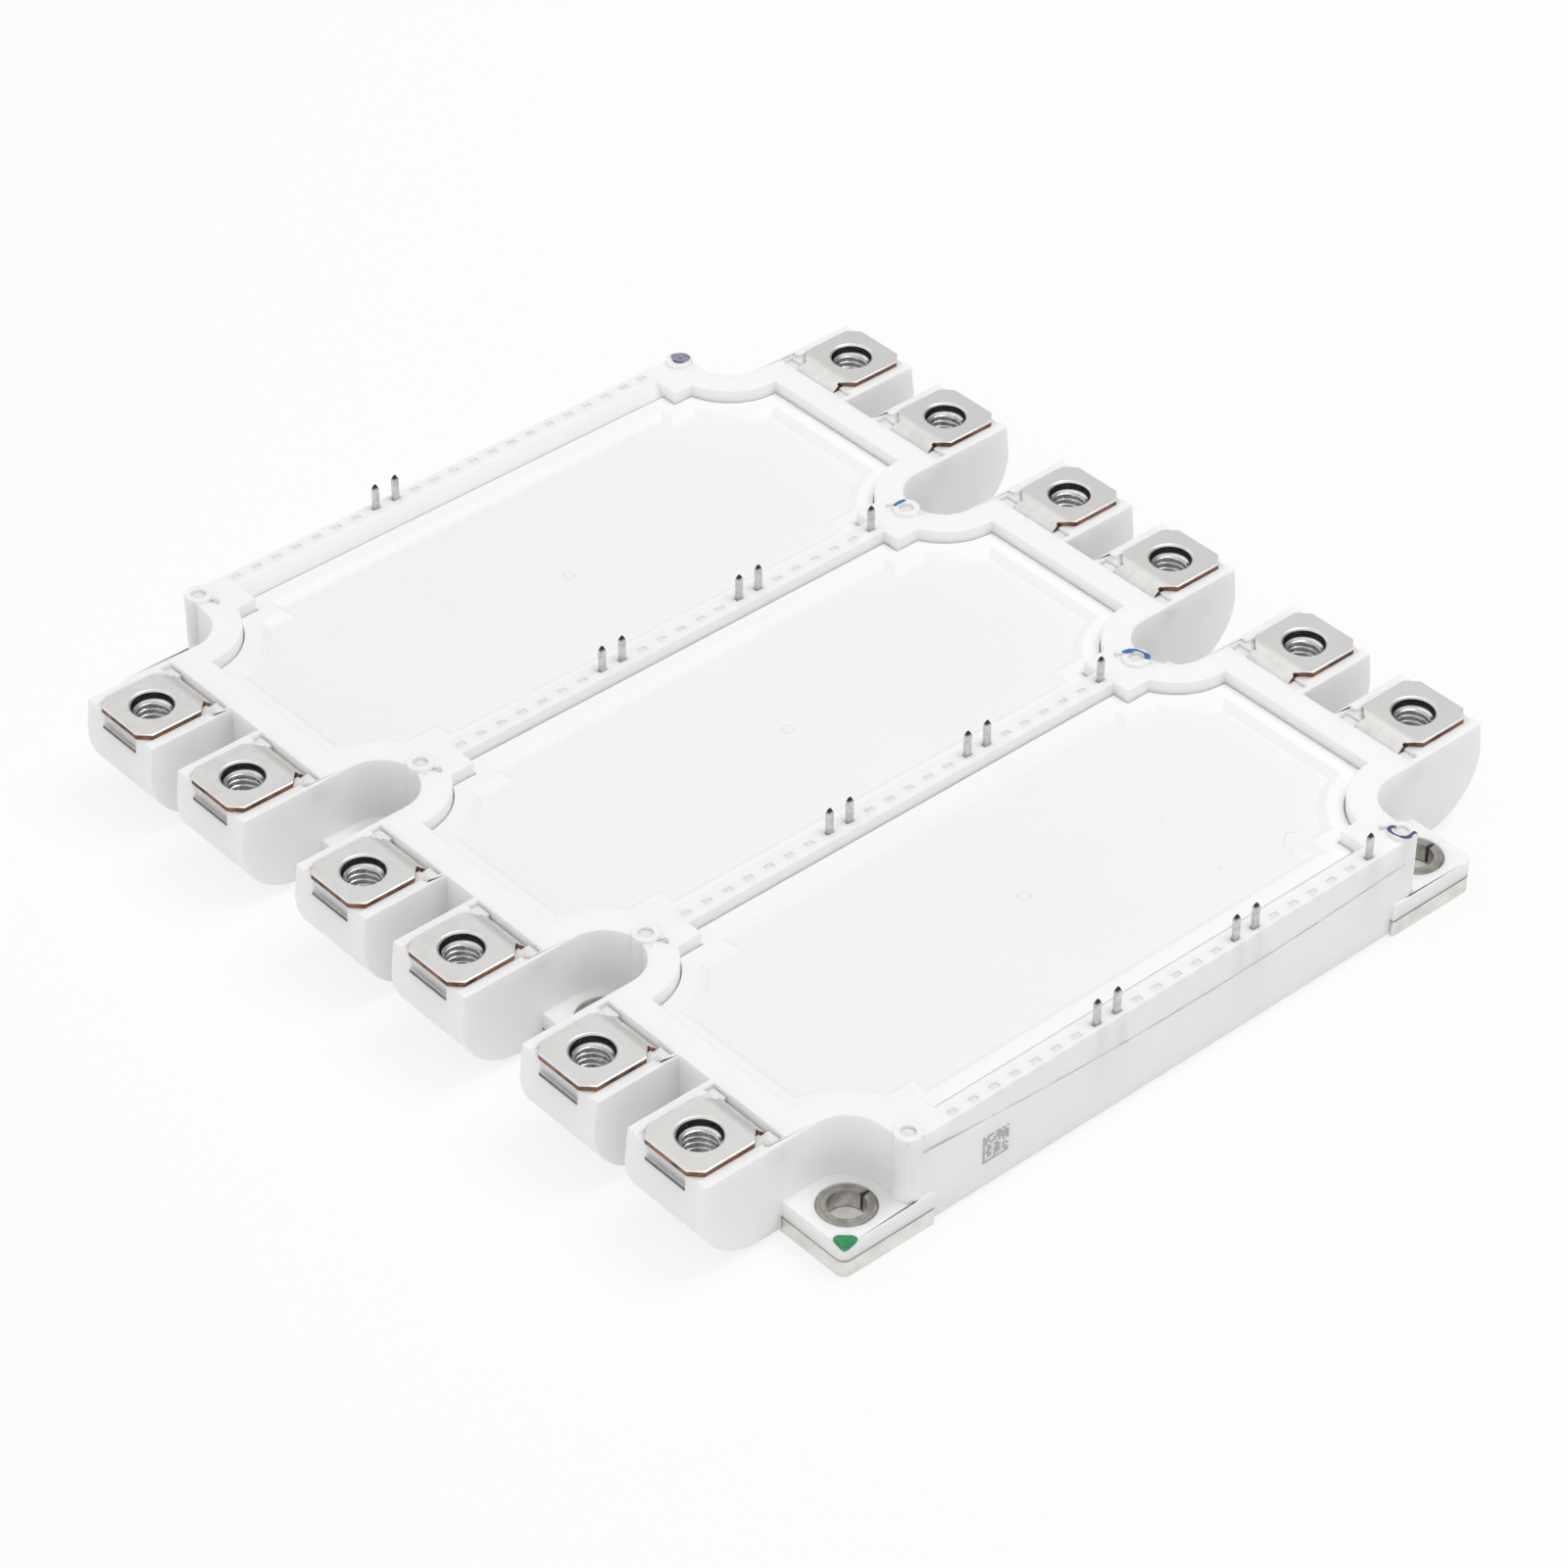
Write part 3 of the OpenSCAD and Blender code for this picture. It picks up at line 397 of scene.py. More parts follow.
def make_materials():
    """Every finish by its name: its skin, relief, own paint, metal share and shader values."""
    finishes = {
        "white_plastic": dict(
            skin=moulded((0.93, 0.93, 0.925), (0.915, 0.915, 0.91), 0.42), bump=0.25, Specular_IOR_Level=0.45,
            Subsurface_Weight=0.55, Subsurface_Scale=2.5 * MM, Subsurface_Radius=(1.0, 1.0, 1.0)),
        "lid_plastic": dict(
            skin=moulded((0.885, 0.9, 0.897), (0.87, 0.887, 0.884), 0.38, 1800.0, 35.0), bump=0.2,
            paint=lid_paint, Specular_IOR_Level=0.45),
        "nickel_plate": dict(
            skin=plated((0.84, 0.835, 0.8), (0.7, 0.69, 0.65), 0.42), bump=0.2,
            paint=plate_gap_painted_shade, metallic=0.85),
        "silver_plate": dict(
            skin=plated((0.95, 0.945, 0.925), (0.8, 0.795, 0.775), 0.36, 350.0, 700.0), bump=0.22,
            metallic=0.9),
        "cut_copper": dict(
            skin=plated((0.36, 0.18, 0.1), (0.06, 0.034, 0.024), 0.5, 500.0, 1500.0), bump=0.3, metallic=0.6),
        "hole_shade": dict(
            skin=plated((0.06, 0.045, 0.04), (0.015, 0.013, 0.012), 0.45, 700.0, 1500.0), bump=0.3,
            metallic=0.5),
        "zinc_nut": dict(
            skin=plated((0.96, 0.965, 0.98), (0.7, 0.71, 0.73), 0.17, 600.0, 1500.0), bump=0.15,
            paint=nut_mouth_painted_shade, metallic=1.0),
        "rolled_steel": dict(
            skin=plated((0.5, 0.485, 0.45), (0.28, 0.27, 0.245), 0.36, 500.0, 1200.0), bump=0.25,
            paint=sleeve_paint, metallic=1.0),
        "tinned_pin": dict(
            skin=plated((0.72, 0.715, 0.7), (0.55, 0.545, 0.53), 0.38, 900.0, 2000.0), bump=0.2,
            paint=pin_paint, metallic=1.0),
        "ceramic": dict(
            skin=moulded((0.87, 0.87, 0.84), (0.84, 0.84, 0.81), 0.3, 3500.0, 80.0), bump=0.1),
        "bare_copper": dict(
            skin=plated((0.72, 0.4, 0.27), (0.5, 0.26, 0.17), 0.35), bump=0.2, metallic=1.0),
        "silicon": dict(
            skin=plated((0.4, 0.42, 0.46), (0.3, 0.31, 0.35), 0.15, 900.0, 2500.0), bump=0.05, metallic=0.8),
        "wire_aluminium": dict(
            skin=plated((0.85, 0.85, 0.86), (0.72, 0.72, 0.73), 0.28, 1500.0, 3000.0), bump=0.1,
            metallic=1.0),
        "sensor_black": dict(
            skin=moulded((0.035, 0.035, 0.037), (0.02, 0.02, 0.022), 0.3), bump=0.1),
        "soft_gel": dict(
            skin=moulded((0.74, 0.8, 0.8), (0.7, 0.77, 0.78), 0.12, 900.0, 45.0), bump=0.1,
            Transmission_Weight=0.6, IOR=1.41),
        # Painted shade at the foot of each terminal block's window.
        "gap_painted_shade": dict(
            skin=moulded((0.2, 0.195, 0.19), (0.12, 0.118, 0.115), 0.6, 3000.0, 900.0), bump=0.2),
        "ink_green": dict(
            skin=moulded((0.012, 0.22, 0.075), (0.03, 0.33, 0.13), 0.4, 3000.0, 1500.0), bump=0.2),
        "ink_purple": dict(
            skin=moulded((0.07, 0.035, 0.17), (0.19, 0.13, 0.33), 0.45, 3000.0, 1800.0), bump=0.2),
        "ink_blue": dict(
            skin=moulded((0.02, 0.075, 0.26), (0.06, 0.2, 0.52), 0.45, 3000.0, 1800.0), bump=0.2),
        "ink_faded": dict(
            skin=moulded((0.17, 0.145, 0.25), (0.36, 0.33, 0.44), 0.5, 3000.0, 1500.0), bump=0.2),
        "scuffed_lid": dict(
            skin=moulded((0.76, 0.785, 0.78), (0.84, 0.86, 0.855), 0.6, 3000.0, 1500.0), bump=0.3),
        # Painted shade on the floors of the empty pin guides and the posts' holes.
        "recess_painted_shade": dict(
            skin=moulded((0.8, 0.79, 0.76), (0.76, 0.75, 0.72), 0.55, 3000.0, 400.0), bump=0.2),
        "laser_grey": dict(
            skin=moulded((0.42, 0.42, 0.41), (0.52, 0.52, 0.51), 0.6, 3000.0, 2200.0), bump=0.2),
    }
    return {name: finish_material(name, **values) for name, values in finishes.items()}


MATERIALS = make_materials()


def dress_nodes():
    """Each modelled part takes the finish named by its material slot."""
    finishes = {row["node"]: row["material_slot"] for row in frame["record"]["subparts"]}
    for name, part in NODES.items():
        for place in part.material_slots:
            place.material = MATERIALS[finishes[name]]


def soften_edges(part, width, whole_flats=False):
    """Breaks the hard edges of a part as moulding or punching leaves them."""
    for face in part.data.polygons:
        face.use_smooth = True
    weld = part.modifiers.new("weld", "WELD")
    weld.merge_threshold = 1e-7
    if whole_flats:
        flat = part.modifiers.new("whole_flats", "DECIMATE")
        flat.decimate_type = "DISSOLVE"
        flat.angle_limit = math.radians(0.2)
    bevel = part.modifiers.new("broken_edges", "BEVEL")
    bevel.limit_method = "ANGLE"
    bevel.angle_limit = math.radians(30)
    bevel.width = width
    bevel.segments = 2
    bevel.use_clamp_overlap = False
    normals = part.modifiers.new("even_normals", "WEIGHTED_NORMAL")
    normals.weight = 90
    normals.keep_sharp = True
    return bevel


# ----------------------------------------------------------- mesh tools

def add_piece(name, mesh, material):
    """Links a finished mesh, which rides on the module's only body."""
    piece = bpy.data.objects.new(name, mesh)
    bpy.context.scene.collection.objects.link(piece)
    mesh.materials.append(MATERIALS[material])
    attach(piece, "root")
    return piece


def tidy_mesh(mesh):
    """Joins doubled points and turns every face outwards."""
    build = bmesh.new()
    build.from_mesh(mesh)
    bmesh.ops.remove_doubles(build, verts=build.verts, dist=1e-8)
    bmesh.ops.recalc_face_normals(build, faces=build.faces)
    build.to_mesh(mesh)
    build.free()


def mesh_from(name, points, faces, smooth=False):
    mesh = bpy.data.meshes.new(name)
    mesh.from_pydata([tuple(p) for p in points], [], faces)
    mesh.validate()
    mesh.polygons.foreach_set("use_smooth", [smooth] * len(mesh.polygons))
    mesh.update()
    tidy_mesh(mesh)
    return mesh


def film(outline, thickness):
    """A thin closed film over a flat outline, as local points and faces."""
    n = len(outline)
    points = [Vector((x, y, 0)) for x, y in outline] + [Vector((x, y, thickness)) for x, y in outline]
    faces = [tuple(reversed(range(n))), tuple(range(n, 2 * n))]
    faces += [(k, (k + 1) % n, n + (k + 1) % n, n + k) for k in range(n)]
    return points, faces


def ring_faces(rings, steps):
    """The quads between neighbouring rings of points, with steps points in each ring."""
    faces = []
    for first in range(0, rings * steps, steps):
        for k in range(steps):
            i = (k + 1) % steps
            faces.append((first + k, first + i, first + steps + i, first + steps + k))
    return faces


def block(build, size, centre):
    """One rectangular block more in a mesh under construction."""
    made = bmesh.ops.create_cube(build, size=1.0)["verts"]
    bmesh.ops.scale(build, vec=size, verts=made)
    bmesh.ops.translate(build, vec=centre, verts=made)


def add_blocks(name, build, edges, width, material):
    """Breaks the edges of blocks and adds them as one piece."""
    bmesh.ops.bevel(build, geom=edges, offset=width, segments=2, affect="EDGES", profile=0.5)
    mesh = bpy.data.meshes.new(name)
    build.to_mesh(mesh)
    build.free()
    add_piece(name, mesh, material)


def smooth_path(path, steps=6):
    """A flowing curve through the given points; each point is x, y and the width there."""
    rows = [Vector(point) for point in path]
    rows = [rows[0]] + rows + [rows[-1]]
    curve = []
    for k in range(1, len(rows) - 2):
        a, b, c, d = rows[k - 1:k + 3]
        for m in range(steps):
            t = m / steps
            curve.append(0.5 * (2 * b + (c - a) * t + (2 * a - 5 * b + 4 * c - d) * t ** 2
                                + (3 * b - a - 3 * c + d) * t ** 3))
    return curve + [rows[-1]]


def stroke(path, seed):
    """The outline of a pen stroke along a path of points with widths, in millimetres."""
    uneven, end_share = 0.2, 0.45
    curve = smooth_path(path)
    left, right = [], []
    last = len(curve) - 1
    for k, (x, y, width) in enumerate(curve):
        a, b = curve[max(k - 1, 0)], curve[min(k + 1, last)]
        length = math.hypot(b.x - a.x, b.y - a.y)
        nx, ny = (a.y - b.y) / length, (b.x - a.x) / length
        half = width / 2 * (1 + uneven * noise.noise(Vector((k * 0.35, seed, 0.5))))
        if k in (0, last):
            half *= end_share
        left.append(((x + nx * half) * MM, (y + ny * half) * MM))
        right.append(((x - nx * half) * MM, (y - ny * half) * MM))
    return left + right[::-1]


# ---------------------------------------------------- marks and fittings

def ink_mark(name, outline, centre, material):
    """A dried ink film or a scratch on a level surface."""
    points, faces = film(outline, 0.02 * MM)
    add_piece(name, mesh_from(name, [p + Vector(centre) for p in points], faces), material)


def corner_dot():
    """A dab of green ink on the flange's corner, run a little over its edge."""
    centre = Vector((FLANGE_X - 0.75 * MM, 1.05 * MM - FLANGE_Y))
    pivot = Vector((FLANGE_X - FLANGE_R, FLANGE_R - FLANGE_Y))
    radius, lift = 1.6 * MM, 0.02 * MM
    wobble, lobe, lobe_turn = 0.08, 0.13, 5.5
    rings, steps = 8, 48
    points = []
    for j in range(rings + 1):
        for k in range(steps):
            a = 2 * math.pi * k / steps
            ray = Vector((math.cos(a), math.sin(a)))
            swell = 1 + wobble * noise.noise(Vector((ray.x, ray.y, 2.0)))
            swell += lobe * math.cos(3 * (a - lobe_turn))
            p = centre + ray * (radius * swell * j / rings)
            over = Vector((max(p.x - pivot.x, 0), min(p.y - pivot.y, 0)))
            drop = max(over.length - FLANGE_R, 0)
            if drop:
                p = p - over + over.normalized() * (FLANGE_R + lift)
            points.append((p.x, p.y, FLANGE_Z + lift - drop))
    mesh = mesh_from("ink_dot_green", points, ring_faces(rings, steps), True)
    add_piece("ink_dot_green", mesh, "ink_green")


def recess_shade_floors():
    """Shallow beige-grey floors in the empty pin guides and the posts' holes, whose depth and colour paint
    the soft shade seen in these recesses.
    """
    guide = (0.83 * MM, 1.48 * MM, 0.7 * MM)
    guide_z = HOUSING_Z - 0.65 * MM
    post_r, post_t, post_z = POST_HOLE_R - 0.02 * MM, 1.0 * MM, POST_Z - 1.1 * MM
    build = bmesh.new()
    for x, used in zip((-ROW_X, -SCREW_X, SCREW_X, ROW_X), PINS_USED):
        for n in range(1, PIN_PLACES + 1):
            if n not in used:
                block(build, guide, (x, (n - (PIN_PLACES + 1) / 2) * PIN_PITCH, guide_z))
    for x in (-POST_X, -SCREW_X, SCREW_X, POST_X):
        for side in (-1, 1):
            made = bmesh.ops.create_cone(build, cap_ends=True, segments=32, radius1=post_r, radius2=post_r,
                                         depth=post_t)["verts"]
            bmesh.ops.translate(build, vec=(x, side * POST_Y, post_z), verts=made)
    sharp = [edge for edge in build.edges if edge.calc_face_angle(0) > 1]
    add_blocks("recess_shade_floors", build, sharp, 0.06 * MM, "recess_painted_shade")


def pocket_steps():
    """The shallow plastic steps on each side of a strap, in the pocket behind its bend."""
    wide = POCKET_HALF - STRAP_HALF - 0.15 * MM
    across = (POCKET_HALF + STRAP_HALF + 0.1 * MM) / 2
    build = bmesh.new()
    for n in TERMINAL_NUMBERS:
        centre, side = terminal_place(n)
        for x in (-1, 1):
            block(build, (wide, POCKET_DEEP, STEP_Z - POCKET_Z),
                  (centre + x * across, side * (LEG_Y + POCKET_DEEP / 2), (STEP_Z + POCKET_Z) / 2))
    add_blocks("pocket_steps", build, build.edges[:], 0.1 * MM, "white_plastic")


def window_foot_painted_shade():
    """A thin dark grey strip at the foot of the window in each terminal block's outer face, which paints the
    shade there.
    """
    deep, high, proud = 0.16 * MM, 0.42 * MM, 0.02 * MM
    build = bmesh.new()
    for n in TERMINAL_NUMBERS:
        centre, side = terminal_place(n)
        block(build, (WINDOW_W, deep, high), (centre, side * (WINDOW_Y + proud), WINDOW_Z + high / 2))
    add_blocks("window_foot_painted_shade", build, build.edges[:], 0.05 * MM, "gap_painted_shade")


def sleeve_seam_painted_shade():
    """Dark films over the seam of each rolled sleeve, wider at its mouth: the seam is real, its darkness is
    painted shade in the slit.
    """
    narrow, wide, deep = 0.14 * MM, 0.42 * MM, 0.3 * MM
    outer_y, mouth_y = SLEEVE_OUT - 0.35 * MM, SLEEVE_IN + 0.03 * MM
    inner_y, back_y = SLEEVE_IN - 0.02 * MM, SLEEVE_IN + 0.1 * MM
    wedge = [(-narrow, outer_y), (narrow, outer_y), (wide, mouth_y), (-wide, mouth_y)]
    inner = [(-deep, inner_y), (deep, inner_y), (deep, back_y), (-deep, back_y)]
    layers = ((wedge, FLANGE_Z - 0.1 * MM, FLANGE_Z + 0.015 * MM),
              (inner, BASE_TOP + 0.1 * MM, FLANGE_Z + 0.01 * MM))
    points, faces = [], []
    for k in (-3, -1, 1, 3):
        for side in (-1, 1):
            for outline, low, high in layers:
                local, rim = film(outline, high - low)
                start = len(points)
                points += [q + Vector((k * SCREW_X, side * SCREW_Y, low)) for q in local]
                faces += [tuple(start + i for i in face) for face in rim]
    add_piece("sleeve_seam_painted_shade", mesh_from("sleeve_seam_painted_shade", points, faces), "hole_shade")


def nut_threads():
    """A screw thread inside each captive nut."""
    pitch, turns, steps = 1.0 * MM, 4.1, 36
    crest, root = 2.46 * MM, 2.62 * MM
    profile = [(root, -0.44), (crest, -0.07), (crest, 0.07), (root, 0.44)]
    start_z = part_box("terminal_nuts")[0][2] + 0.65 * MM
    count = int(turns * steps)
    points, faces = [], []
    for n in TERMINAL_NUMBERS:
        centre, side = terminal_place(n)
        first = len(points)
        for k in range(count + 1):
            a = 2 * math.pi * k / steps
            for r, lift in profile:
                points.append((centre + r * math.cos(a), side * TERMINAL_Y + r * math.sin(a),
                               start_z + pitch * (k / steps + lift)))
        faces += [tuple(first + i for i in face) for face in ring_faces(count, len(profile))]
        end = first + 4 * count
        faces += [(first, first + 1, first + 2, first + 3), (end + 3, end + 2, end + 1, end)]
    add_piece("nut_threads", mesh_from("nut_threads", points, faces, True), "zinc_nut")


def wavy_bead(name, side):
    """The uneven moulding bead that lies in the outer wall's belt line."""
    low_y, low_z, belt_r = 8 * MM, 10.7 * MM, 507 * MM
    reach, end_y, steps, ring = 46.6 * MM, 45.1 * MM, 300, 6
    sway, sway_l, swell_l = 0.06 * MM, 3.1 * MM, 1.7 * MM
    wall = WALL_X + 0.02 * MM
    points = []
    for k in range(steps + 1):
        y = max(min(-reach + 2 * reach * k / steps, end_y), -end_y)
        z = low_z + belt_r - math.sqrt(belt_r ** 2 - (y - low_y) ** 2)
        z += sway * noise.noise(Vector((y / sway_l, side, 0.3)))
        radius = (0.1 + 0.05 * noise.noise(Vector((y / swell_l, side, 4.0)))) * MM
        for j in range(ring):
            a = 2 * math.pi * j / ring
            points.append((side * (wall + radius * math.cos(a)), side * y, z + radius * math.sin(a)))
    faces = ring_faces(steps, ring)
    faces += [tuple(range(ring)), tuple(reversed(range(steps * ring, (steps + 1) * ring)))]
    add_piece(name, mesh_from(name, points, faces, True), "white_plastic")


def code_squares():
    """A made-up pattern of small lasered squares on the side wall."""
    random.seed(20)
    cells, pitch, filled = 12, 0.4 * MM, 0.52
    size = 0.94 * pitch
    low_y, low_z = -35.4 * MM, 4.7 * MM
    face, depth = WALL_X + BELT_STEP, 0.015 * MM
    points, faces = [], []
    for row in range(cells):
        for column in range(cells):
            border = row == 0 or column == 0
            if not border and random.random() > filled:
                continue
            y, z = low_y + column * pitch, low_z + row * pitch
            n = len(points)
            for x in (face - depth, face + depth):
                points += [(x, y, z), (x, y + size, z), (x, y + size, z + size), (x, y, z + size)]
            faces += [(n + 3, n + 2, n + 1, n), (n + 4, n + 5, n + 6, n + 7)]
            faces += [(n + k, n + (k + 1) % 4, n + 4 + (k + 1) % 4, n + 4 + k) for k in range(4)]
    add_piece("code_squares", mesh_from("code_squares", points, faces), "laser_grey")


# ------------------------------------------------------------ terminals

# Where the finishes stand in a terminal's list of materials
PLATED_FACE, CUT_FACE, HOLE_FACE = 0, 1, 2
# Shares of the full rounding: punched-down plate rim, other upper rims, lower rims
PLATE_ROLL, UPPER_ROLL, LOWER_ROLL = 1.0, 0.3, 0.25


def fold(s):
    """Where the sheet's upper side lies at length s from the hole: inward reach, height and normal."""
    lead = s - BEND_START
    if lead <= 0:
        return s, PLATE_TOP, 0.0, 1.0
    if lead <= BEND_L:
        sine, cosine = math.sin(lead / BEND_R), math.cos(lead / BEND_R)
        return BEND_START + BEND_R * sine, PLATE_TOP - BEND_R * (1 - cosine), sine, cosine
    reach = BEND_START + BEND_R
    down = lead - BEND_L
    if down <= LEG_L:
        return reach, PLATE_TOP - BEND_R - down, 1.0, 0.0
    turn = min((down - LEG_L) / FOOT_R, math.pi / 2)
    sine, cosine = math.sin(turn), math.cos(turn)
    along = max(0.0, down - LEG_L - FOOT_BEND_L)
    return reach + FOOT_R * (1 - cosine) + along, FOOT_TOP + FOOT_R * (1 - sine), cosine, sine


def terminal_blank():
    """The flat blank of a terminal, filled round its hole and scored where it bends."""
    half = [(PLATE_HALF - PLATE_CHAMFER, -PLATE_OUT), (PLATE_HALF, PLATE_CHAMFER - PLATE_OUT),
            (PLATE_HALF, SHOULDER_START), (STRAP_HALF, SHOULDER_END)]
    for degrees in range(-120, -271, -30):
        a = math.radians(degrees)
        half.append((STRAP_HALF + RELIEF_R * math.cos(a), SHOULDER_END + RELIEF_R * (1 + math.sin(a))))
    half.append((STRAP_HALF, BLANK_L))
    outline = half + [(-x, s) for x, s in reversed(half)]
    steps, wide = 64, HOLE_R + HOLE_BREAK
    turns = [2 * math.pi * k / steps for k in range(steps)]
    hole = [(wide * math.cos(a), wide * math.sin(a)) for a in turns]
    build = bmesh.new()
    for loop in (outline, hole):
        corners = [build.verts.new((x, s, 0)) for x, s in loop]
        for k in range(len(corners)):
            build.edges.new((corners[k - 1], corners[k]))
    bmesh.ops.triangle_fill(build, use_beauty=True, use_dissolve=False, edges=build.edges[:],
                            normal=(0, 0, 1))
    bmesh.ops.dissolve_limit(build, angle_limit=0.001, verts=[], edges=build.edges[:])
    bend_steps, foot_steps = 14, 5
    scores = [BEND_START + BEND_L * k / bend_steps for k in range(bend_steps + 1)]
    scores += [BEND_START + BEND_L + LEG_L + FOOT_BEND_L * k / foot_steps for k in range(foot_steps + 1)]
    for s in scores:
        bmesh.ops.bisect_plane(build, geom=build.verts[:] + build.edges[:] + build.faces[:], dist=1e-7,
                               plane_co=(0, s, 0), plane_no=(0, 1, 0))
    build.verts.index_update()
    return build


def make_terminal(n, blank):
    """A punched and folded copper strip, silver plated, with its cut edges left bare."""
    name = f"terminal_strip_{n}"
    centre, side = terminal_place(n)

    def place(x, s, depth):
        reach, z, normal_in, normal_up = fold(s)
        return centre + side * x, side * (TERMINAL_Y - reach + depth * normal_in), z - depth * normal_up

    flat = [(v.co.x, v.co.y) for v in blank.verts]
    count = len(flat)
    upper = [place(x, s, 0.0) for x, s in flat]
    # Each point of the hole's broken rim has one more point below it, where the straight wall begins
    under, wall, wall_top = [], [], {}
    for k, (x, s) in enumerate(flat):
        radius = math.hypot(x, s)
        if abs(radius - HOLE_R - HOLE_BREAK) < 0.01 * MM:
            x, s = x * HOLE_R / radius, s * HOLE_R / radius
            wall_top[k] = 2 * count + len(wall)
            wall.append(place(x, s, HOLE_BREAK))
        under.append(place(x, s, SHEET_T))
    faces, finish = [], []
    for face in blank.faces:
        ring = [v.index for v in face.verts]
        faces += [ring, [k + count for k in reversed(ring)]]
        finish += [PLATED_FACE, PLATED_FACE]
    rim = [tuple(v.index for v in edge.verts) for edge in blank.edges if len(edge.link_faces) == 1]
    for a, b in rim:
        if a in wall_top and b in wall_top:
            faces += [(a, b, wall_top[b], wall_top[a]), (wall_top[a], wall_top[b], b + count, a + count)]
            finish += [PLATED_FACE, HOLE_FACE]
        else:
            faces.append((a, b, b + count, a + count))
            finish.append(CUT_FACE)
    mesh = bpy.data.meshes.new(name)
    mesh.from_pydata(upper + under + wall, [], faces)
    mesh.polygons.foreach_set("material_index", finish)
    tidy_mesh(mesh)
    upper_rim = {tuple(sorted(ends)) for ends in rim}
    roll = mesh.attributes.new("bevel_weight_edge", "FLOAT", "EDGE")
    for edge in mesh.edges:
        a, b = sorted(edge.vertices)
        if (a, b) in upper_rim:
            on_plate = max(flat[a][1], flat[b][1]) <= SHOULDER_START + 0.1 * MM
            roll.data[edge.index].value = PLATE_ROLL if on_plate and a not in wall_top else UPPER_ROLL
        elif (a - count, b - count) in upper_rim:
            roll.data[edge.index].value = LOWER_ROLL
    piece = add_piece(name, mesh, "silver_plate")
    mesh.materials.append(MATERIALS["cut_copper"])
    mesh.materials.append(MATERIALS["hole_shade"])
    bevel = soften_edges(piece, 0.26 * MM)
    bevel.limit_method = "WEIGHT"
    bevel.segments = 3
    bevel.material = PLATED_FACE
    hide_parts(f"terminal_{n}")


# ----------------------------------------------------------- the module

dress_nodes()
for name in ("frame", "base_plate"):
    soften_edges(NODES[name], 0.15 * MM)
for name in ("lid_1", "lid_2", "lid_3"):
    soften_edges(NODES[name], 0.15 * MM, whole_flats=True)

blank = terminal_blank()
for n in TERMINAL_NUMBERS:
    make_terminal(n, blank)
blank.free()
window_foot_painted_shade()
nut_threads()
wavy_bead("belt_bead_near", 1)
wavy_bead("belt_bead_far", -1)
code_squares()
corner_dot()
for name, x, seed, ink, path in PEN_MARKS:
    ink_mark(name, stroke(path, seed), (x, POST_Y, POST_Z), ink)
ink_mark("ink_spot_far", [(x * MM, y * MM) for x, y in FAR_SPOT], (-POST_X, POST_Y, POST_Z), "ink_faded")
for k, path in enumerate(SCRATCHES):
    ink_mark(f"lid_scratch_{k + 1}", stroke(path, k), (0, 0, PANEL_Z), "scuffed_lid")
recess_shade_floors()
pocket_steps()
sleeve_seam_painted_shade()


# ----------------------------------------------------------- the studio

def make_camera():
    """A long lens that looks down on the module's near corner."""
    azimuth, elevation, roll = math.radians(48.312), math.radians(38.864), math.radians(0.313)
    place = Vector((0.43329, -0.38561, 0.47012))
    back = Vector((math.sin(azimuth) * math.cos(elevation), -math.cos(azimuth) * math.cos(elevation),
                   math.sin(elevation)))
    right = (-back).cross(Vector((0, 0, 1))).normalized()
    up = right.cross(-back)
    turned_right = right * math.cos(roll) + up * math.sin(roll)
    turned_up = up * math.cos(roll) - right * math.sin(roll)
    data = bpy.data.cameras.new("camera")
    data.lens, data.sensor_width = 116.2, 36.0
    data.clip_start, data.clip_end = 0.05, 20.0
    camera = bpy.data.objects.new("camera", data)
    bpy.context.scene.collection.objects.link(camera)
    axes = Matrix((turned_right, turned_up, back)).transposed().to_4x4()
    camera.matrix_world = Matrix.Translation(place) @ axes
    bpy.context.scene.camera = camera


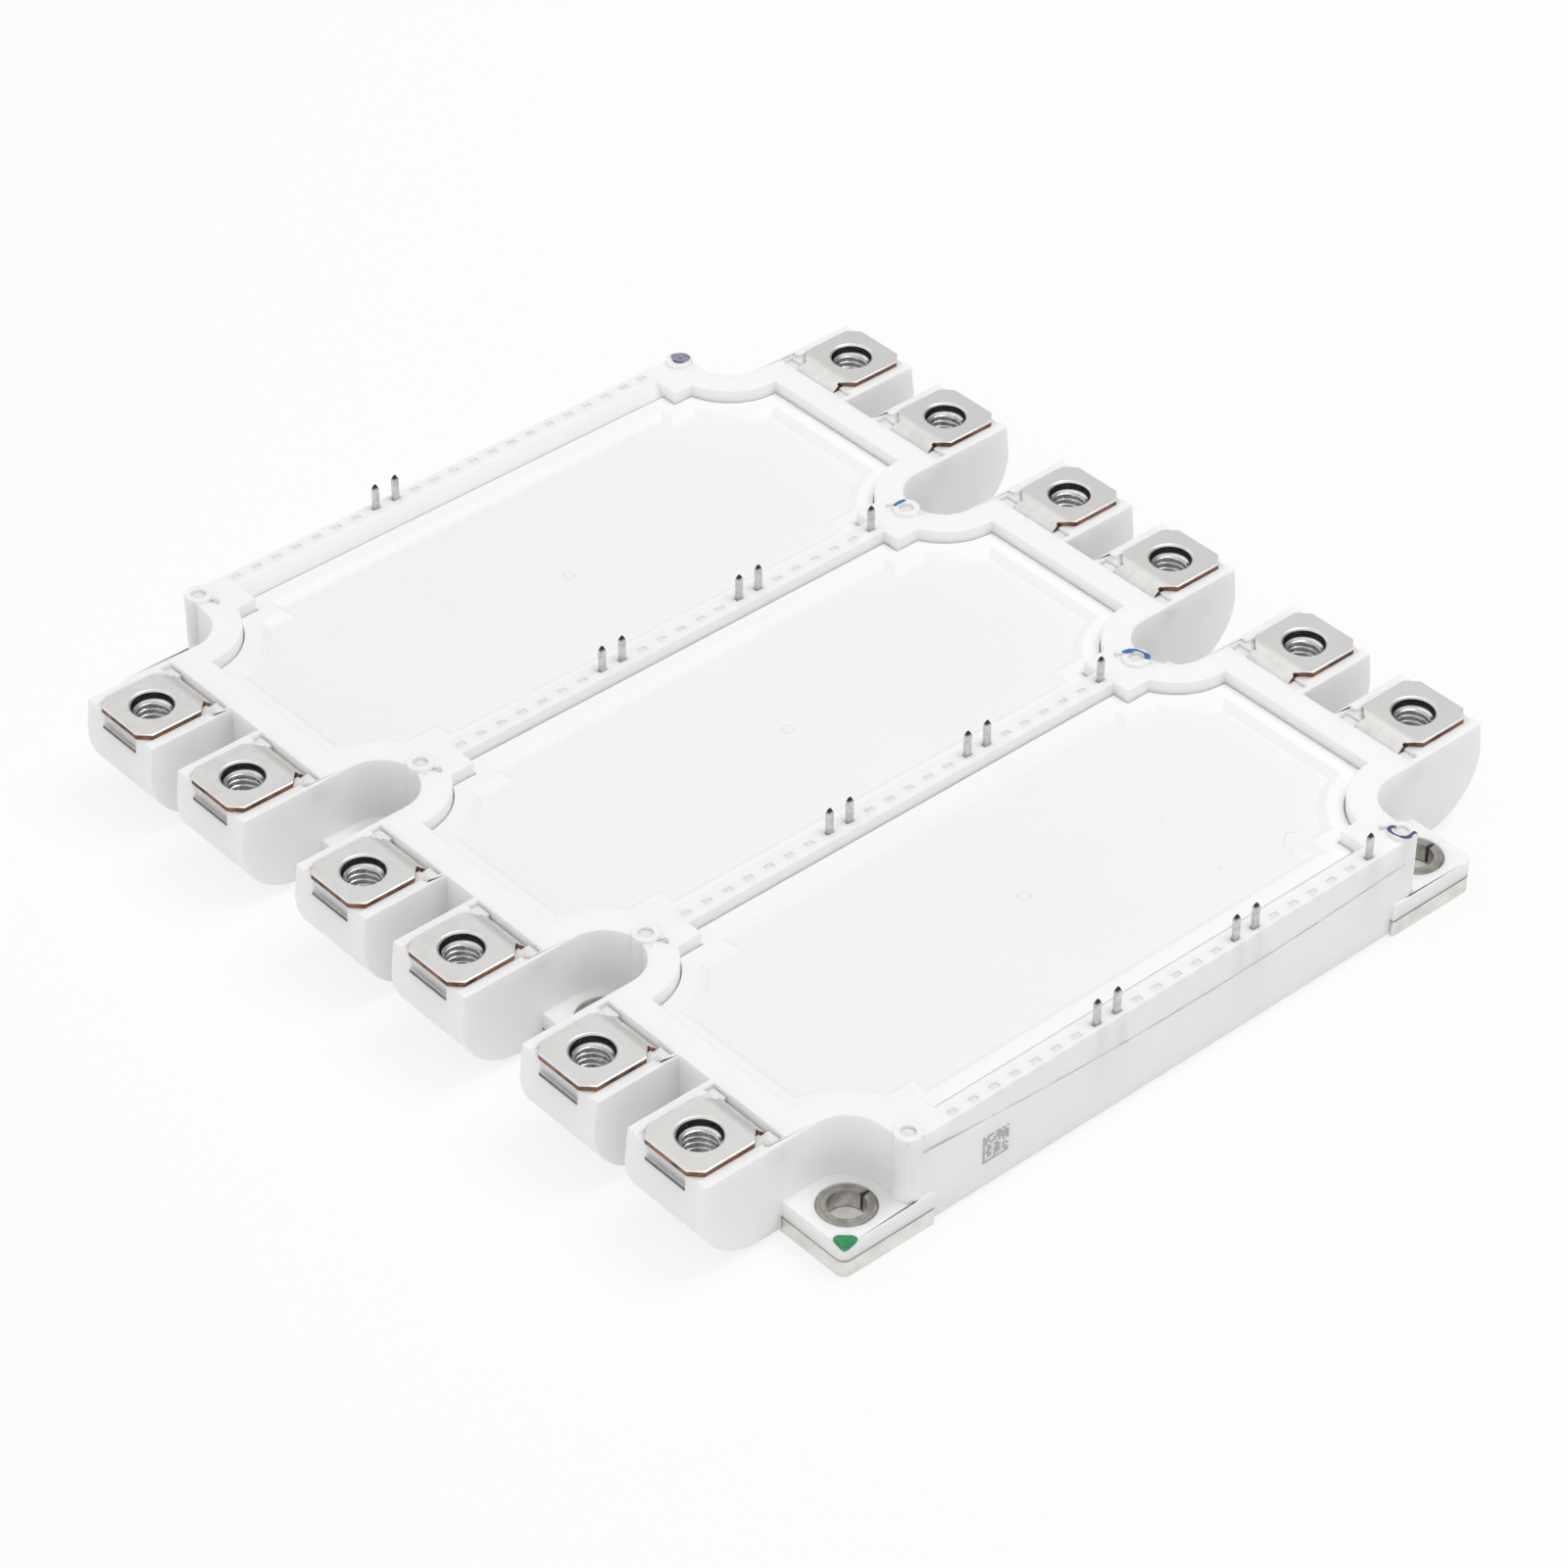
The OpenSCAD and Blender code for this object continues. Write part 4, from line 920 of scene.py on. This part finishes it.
def make_floor():
    """A pale floor that shows as white, and keeps part of the module's shadow."""
    half, glow_share = 6.0, 0.78
    corners = [(-half, -half, 0), (half, -half, 0), (half, half, 0), (-half, half, 0)]
    mesh = mesh_from("floor", corners, [(0, 1, 2, 3)])
    floor = bpy.data.objects.new("floor", mesh)
    bpy.context.scene.collection.objects.link(floor)
    material = bpy.data.materials.new("floor_white")
    material.use_nodes = True
    tree = material.node_tree
    tree.nodes.clear()
    out = add(tree, "ShaderNodeOutputMaterial")
    paint = add(tree, "ShaderNodeBsdfDiffuse", Color=(0.9, 0.9, 0.9, 1))
    glow = add(tree, "ShaderNodeEmission", Strength=1.0, Color=(1, 1, 1, 1))
    path = add(tree, "ShaderNodeLightPath")
    mirrored = calc(tree, "MAXIMUM", (path, "Is Glossy Ray"), (path, "Is Transmission Ray"))
    seen = calc(tree, "MAXIMUM", (path, "Is Camera Ray"), mirrored)
    blend = add(tree, "ShaderNodeMixShader")
    link(tree, calc(tree, "MULTIPLY", seen, glow_share), blend, 0)
    link(tree, (paint, 0), blend, 1)
    link(tree, (glow, 0), blend, 2)
    link(tree, (blend, 0), out, "Surface")
    mesh.materials.append(material)


def make_light():
    """A white room, dimmer behind the module, and one large soft lamp overhead."""
    world = bpy.data.worlds.new("studio")
    bpy.context.scene.world = world
    world.use_nodes = True
    tree = world.node_tree
    tree.nodes.clear()
    out = add(tree, "ShaderNodeOutputWorld")
    room = add(tree, "ShaderNodeBackground", Color=(1, 1, 1, 1))
    path = add(tree, "ShaderNodeLightPath")
    seen = calc(tree, "MAXIMUM", (path, "Is Camera Ray"), (path, "Is Transmission Ray"))
    facing = add(tree, "ShaderNodeTexCoord")
    split = add(tree, "ShaderNodeSeparateXYZ")
    link(tree, (facing, "Generated"), split, 0)
    lean_x = calc(tree, "MULTIPLY", (split, 0), -0.05)
    lean_y = calc(tree, "MULTIPLY", (split, 1), -0.08)
    fade = ramp(tree, (split, 1), 0.2, 0.8, 0.77, 0.42)
    room_level = calc(tree, "ADD", calc(tree, "ADD", lean_x, lean_y), fade)
    lit = calc(tree, "MULTIPLY", room_level, calc(tree, "SUBTRACT", 1.0, seen))
    link(tree, calc(tree, "ADD", lit, seen), room, "Strength")
    link(tree, (room, 0), out, "Surface")
    data = bpy.data.lights.new("lamp_over", "AREA")
    data.shape, data.size, data.energy = "DISK", 0.9, 7.5
    lamp = bpy.data.objects.new("lamp_over", data)
    bpy.context.scene.collection.objects.link(lamp)
    lamp.location = Vector((0.25, 0.5, 1.3))
    lamp.rotation_mode = "QUATERNION"
    lamp.rotation_quaternion = (-lamp.location).to_track_quat("-Z", "Y")


make_camera()
make_floor()
make_light()
bpy.context.scene.view_settings.view_transform = "Standard"

bpy.context.view_layer.update()
